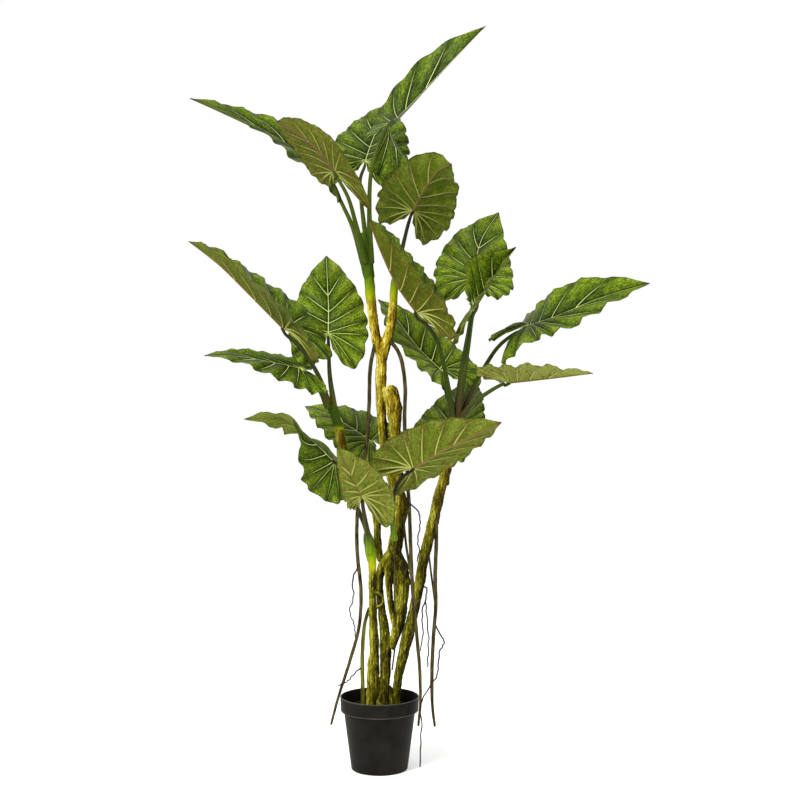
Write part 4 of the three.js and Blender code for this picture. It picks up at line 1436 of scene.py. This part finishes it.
@dataclass
class Roots:
    """The aerial roots: thick ones that hang down, and thin curly ones that leave them and the stems."""

    roots: dict[str, tuple[Branch, ...]]
    stem_wires: tuple[Branch, ...]
    finish: RootFinish = RootFinish()
    wire_finish: RootFinish = RootFinish(light="#2a261b", dark="#0f0d09")
    prop_finish: RootFinish = RootFinish(light="#66661a", dark="#221f06")
    wire_radius: float = 1.8
    wire_swell: float = 1.25
    kink: float = 2.0
    kinks: int = 4
    kink_fade: float = 0.4
    sides: int = 12
    step: float = 4.0
    uneven: float = 0.05

    def tubes(self, name: str, branches: tuple[Branch, ...], skins: list[Material]) -> bpy.types.Object:
        """One piece made of several tubes. The thin ones are kinked.

        Args:
            name: the piece's name.
            branches: the tubes.
            skins: the material of the thick ones and of the thin ones.

        Returns:
            The piece.
        """
        made, finish = [], []
        for seed, branch in enumerate(branches):
            route, radii = np.array(branch.route, float), np.array(branch.radii, float)
            thin = radii.max() < self.wire_radius
            if thin:
                route, radii = self.kinked(route, seed), radii * self.wire_swell
            points, faces, _ = swept_tube(route, radii, self.sides, self.step, self.uneven, seed)
            made.append((points, faces))
            finish.append(np.full(len(faces), int(thin)))
        mesh = mesh_from(name, *joined(made), finish=np.concatenate(finish))
        return object_from(name, mesh, skins)

    def kinked(self, route: Array, seed: int) -> Array:
        """A thin root's route with small bends drawn at random, which fade out at its ends.

        Args:
            route: the points that the root goes through.
            seed: picks the bends.

        Returns:
            The bent route.
        """
        s = np.linspace(0, 1, self.kinks * len(route))
        bends = np.random.default_rng(seed).uniform(-1, 1, (len(s), 3))
        return catmull(route, s) + self.kink * bends * np.sin(np.pi * s)[:, None] ** self.kink_fade

    def build(self) -> None:
        """Makes each root in the place of its own node, and the wires that leave the stems."""
        skins = [self.finish.material("dry_root_skin"), self.wire_finish.material("dry_black_rootlet")]
        mossy = [self.prop_finish.material("mossy_root_skin"), skins[1]]
        for name, branches in self.roots.items():
            root = self.tubes(f"skin_{name}", branches, mossy if name == "root_prop" else skins)
            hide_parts(name)
            LOG.info("%s: %d points", name, len(root.data.vertices))
        wires = self.tubes("stem_wires", self.stem_wires, skins)


@dataclass
class Pot:
    """The round nursery pot and its fill."""

    finish: PotFinish = PotFinish()
    fill_finish: FillFinish = FillFinish()
    height: float = 173.0
    rim_radius: float = 94.5
    band_height: float = 34.0
    band_wall: float = 3.0
    band_taper: float = 1.5
    inner_step: float = 3.0
    arc_points: int = 7
    shoulder_radius: float = 86.0
    base_radius: float = 67.5
    foot_ring: tuple[float, float] = (9.0, 8.0)
    recess: float = 1.2
    sharp_degrees: float = 50.0
    wall: float = 3.0
    floor: float = 4.0
    fill_level: float = 146.0
    mound: float = 6.0
    mound_slope: float = 55.0
    mound_rings: int = 60
    lumps: float = 1.1
    lump_sizes: tuple[float, float, float, float] = (4.1, 3.7, 6.3, 5.1)
    clearance: float = 0.35
    segments: int = 160

    def lathe(self, name: str, profile: Array, lumps: float = 0.0) -> Mesh:
        """Turns a profile round the Z axis.

        Args:
            name: the mesh's name.
            profile: (radius, height) pairs, from the axis out and back to it.
            lumps: how far points near the fill's level rise or fall, as a sum of sines of their place.

        Returns:
            The mesh.
        """
        turn = np.linspace(0, 2 * np.pi, self.segments, endpoint=False)
        radius, height = profile[:, 0], profile[:, 1]
        x = radius[:, None] * np.cos(turn)
        y = radius[:, None] * np.sin(turn)
        by_x, by_y, by_sum, by_difference = self.lump_sizes
        waves = np.sin(x / by_x + 1) * np.sin(y / by_y + 2)
        waves = waves + np.sin((x + y) / by_sum) * np.sin((x - y) / by_difference)
        z = height[:, None] + lumps * waves * (height[:, None] > self.fill_level - 1)
        points = np.stack([x, y, z], axis=-1).reshape(-1, 3)
        first, triangles, _ = weld(points, grid_triangles(len(profile), self.segments, closed=True))
        return mesh_from(name, points[first], triangles)

    def rounded(self, corners: list[Point]) -> Array:
        """A profile with its corners rounded by short arcs.

        Each corner's arc is a parabola that starts and ends its radius away from the corner, on the two
        lines that meet there.

        Args:
            corners: radius, height and rounding of each corner.

        Returns:
            The profile's points.
        """
        places = np.array([(r, z) for r, z, _ in corners])
        made = [places[0]]
        share = np.linspace(0, 1, self.arc_points)[:, None]
        for before, (r, z, rounding), after in zip(places[:-2], corners[1:-1], places[2:]):
            here = np.array([r, z])
            start = here + unit(before - here) * rounding
            end = here + unit(after - here) * rounding
            made.extend((1 - share) ** 2 * start + 2 * share * (1 - share) * here + share**2 * end)
        made.append(places[-1])
        return np.array(made)

    def wall_radius(self, z: float) -> float:
        """The wall's inner radius at a height, on a straight taper from base to shoulder."""
        share = z / (self.height - self.band_height)
        return self.base_radius + (self.shoulder_radius - self.base_radius) * share - self.wall

    def build(self) -> None:
        """Makes the pot and the fill in the places of their nodes."""
        foot = self.height - self.band_height
        inside = self.rim_radius - self.band_wall
        profile = self.rounded([
            (0, self.recess, 0), (self.base_radius - self.foot_ring[0], self.recess, 0.4),
            (self.base_radius - self.foot_ring[1], 0, 0.4),
            (self.base_radius, 0, 2.5), (self.shoulder_radius, foot, 0.4),
            (self.rim_radius - self.band_taper, foot, 1.2), (self.rim_radius, self.height, 0.9),
            (inside, self.height, 0.9), (inside - self.band_taper, foot + self.inner_step, 1.5),
            (self.wall_radius(foot), foot - self.inner_step, 1.5),
            (self.wall_radius(self.floor), self.floor, 2), (0, self.floor, 0),
        ])
        pot = object_from("nursery_pot", self.lathe("nursery_pot", profile), [self.finish.material()])
        pot.data.set_sharp_from_angle(angle=math.radians(self.sharp_degrees))
        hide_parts("pot")
        step = foot - self.inner_step
        shoulder = self.wall_radius(step) - self.clearance
        bottom = self.floor + self.clearance
        out = np.linspace(shoulder - 1, 0, self.mound_rings)
        mound = self.fill_level + self.mound * np.clip((shoulder - out) / self.mound_slope, 0, 1)
        side = [
            (0, bottom), (self.wall_radius(bottom) - self.clearance, bottom), (shoulder, step),
            (shoulder, self.fill_level - 1.5),
        ]
        mesh = self.lathe("fill_top", np.vstack([side, np.stack([out, mound], axis=1)]), self.lumps)
        fill = object_from("fill_top", mesh, [self.fill_finish.material()])
        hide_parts("fill")
        LOG.info("pot and fill: %d points", len(pot.data.vertices) + len(fill.data.vertices))


@dataclass
class Studio:
    """A white studio: a level camera, a pale floor and broad soft lights."""

    eye: Point = (49.0, -3050.0, 884.0)
    focal_share: float = 1269 / 800
    sensor_mm: float = 36.0
    floor_colour: str = "#ffffff"
    floor_half: float = 30000.0
    floor_drop: float = 0.2
    floor_roughness: float = 0.9
    sky_strength: float = 1.0

    def camera(self) -> None:
        """A level camera that looks along +Y. Its focal length is its share of the sensor's width."""
        lens = bpy.data.cameras.new("camera")
        lens.sensor_width = self.sensor_mm
        lens.lens = self.focal_share * self.sensor_mm
        camera = bpy.data.objects.new("camera", lens)
        camera.location = [each * MM for each in self.eye]
        camera.rotation_euler = (math.radians(90), 0, 0)
        bpy.context.scene.collection.objects.link(camera)
        bpy.context.scene.camera = camera

    def light(self, name: str, place: Point, aim: Point, size: float, power: float) -> None:
        """A square area light.

        Args:
            name: the light's name.
            place: where it stands, in metres.
            aim: the point it faces, in metres.
            size: its side, in metres.
            power: its power, in watts.
        """
        lamp = bpy.data.lights.new(name, "AREA")
        lamp.size = size
        lamp.energy = power
        made = bpy.data.objects.new(name, lamp)
        made.location = place
        way = np.array(aim) - np.array(place)
        made.rotation_euler = (
            math.atan2(math.hypot(way[0], way[1]), -way[2]),
            0,
            math.atan2(way[1], way[0]) - math.pi / 2,
        )
        bpy.context.scene.collection.objects.link(made)

    def floor(self) -> None:
        """A flat square of pale floor, so wide that its edge is lost in the white sky."""
        half = self.floor_half
        points = np.array([[-half, -half, 0], [half, -half, 0], [half, half, 0], [-half, half, 0]])
        points = points - [0, 0, self.floor_drop]
        mesh = mesh_from("floor", points, np.array([[0, 1, 2], [0, 2, 3]]))
        floor = bpy.data.objects.new("floor", mesh)
        bpy.context.scene.collection.objects.link(floor)
        material, tree = empty_material("pale_studio_floor")
        finish_material(tree, linear(self.floor_colour), self.floor_roughness)
        mesh.materials.append(material)

    def sky(self) -> None:
        """An even white sky."""
        world = bpy.data.worlds.new("white_sky")
        world.use_nodes = True
        background = world.node_tree.nodes["Background"]
        background.inputs["Color"].default_value = (1, 1, 1, 1)
        background.inputs["Strength"].default_value = self.sky_strength
        bpy.context.scene.world = world

    def build(self) -> None:
        """Sets the camera, the floor and the lights."""
        self.camera()
        self.floor()
        self.sky()
        self.light("key", place=(-2.2, -2.6, 3.2), aim=(0.05, 0, 1.0), size=1.6, power=190)
        self.light("fill", place=(2.6, -2.4, 1.6), aim=(0.05, 0, 0.9), size=1.8, power=60)
        bpy.context.scene.view_settings.view_transform = "Standard"


def main() -> None:
    """Builds the whole plant and the studio."""
    logging.basicConfig(level=logging.INFO, format="%(message)s")
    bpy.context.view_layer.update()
    Studio().build()
    Canopy(LEAVES).build()
    Stems(STEMS).build()
    Roots(ROOTS, STEM_WIRES).build()
    Pot().build()


if __name__ == "__main__":
    main()
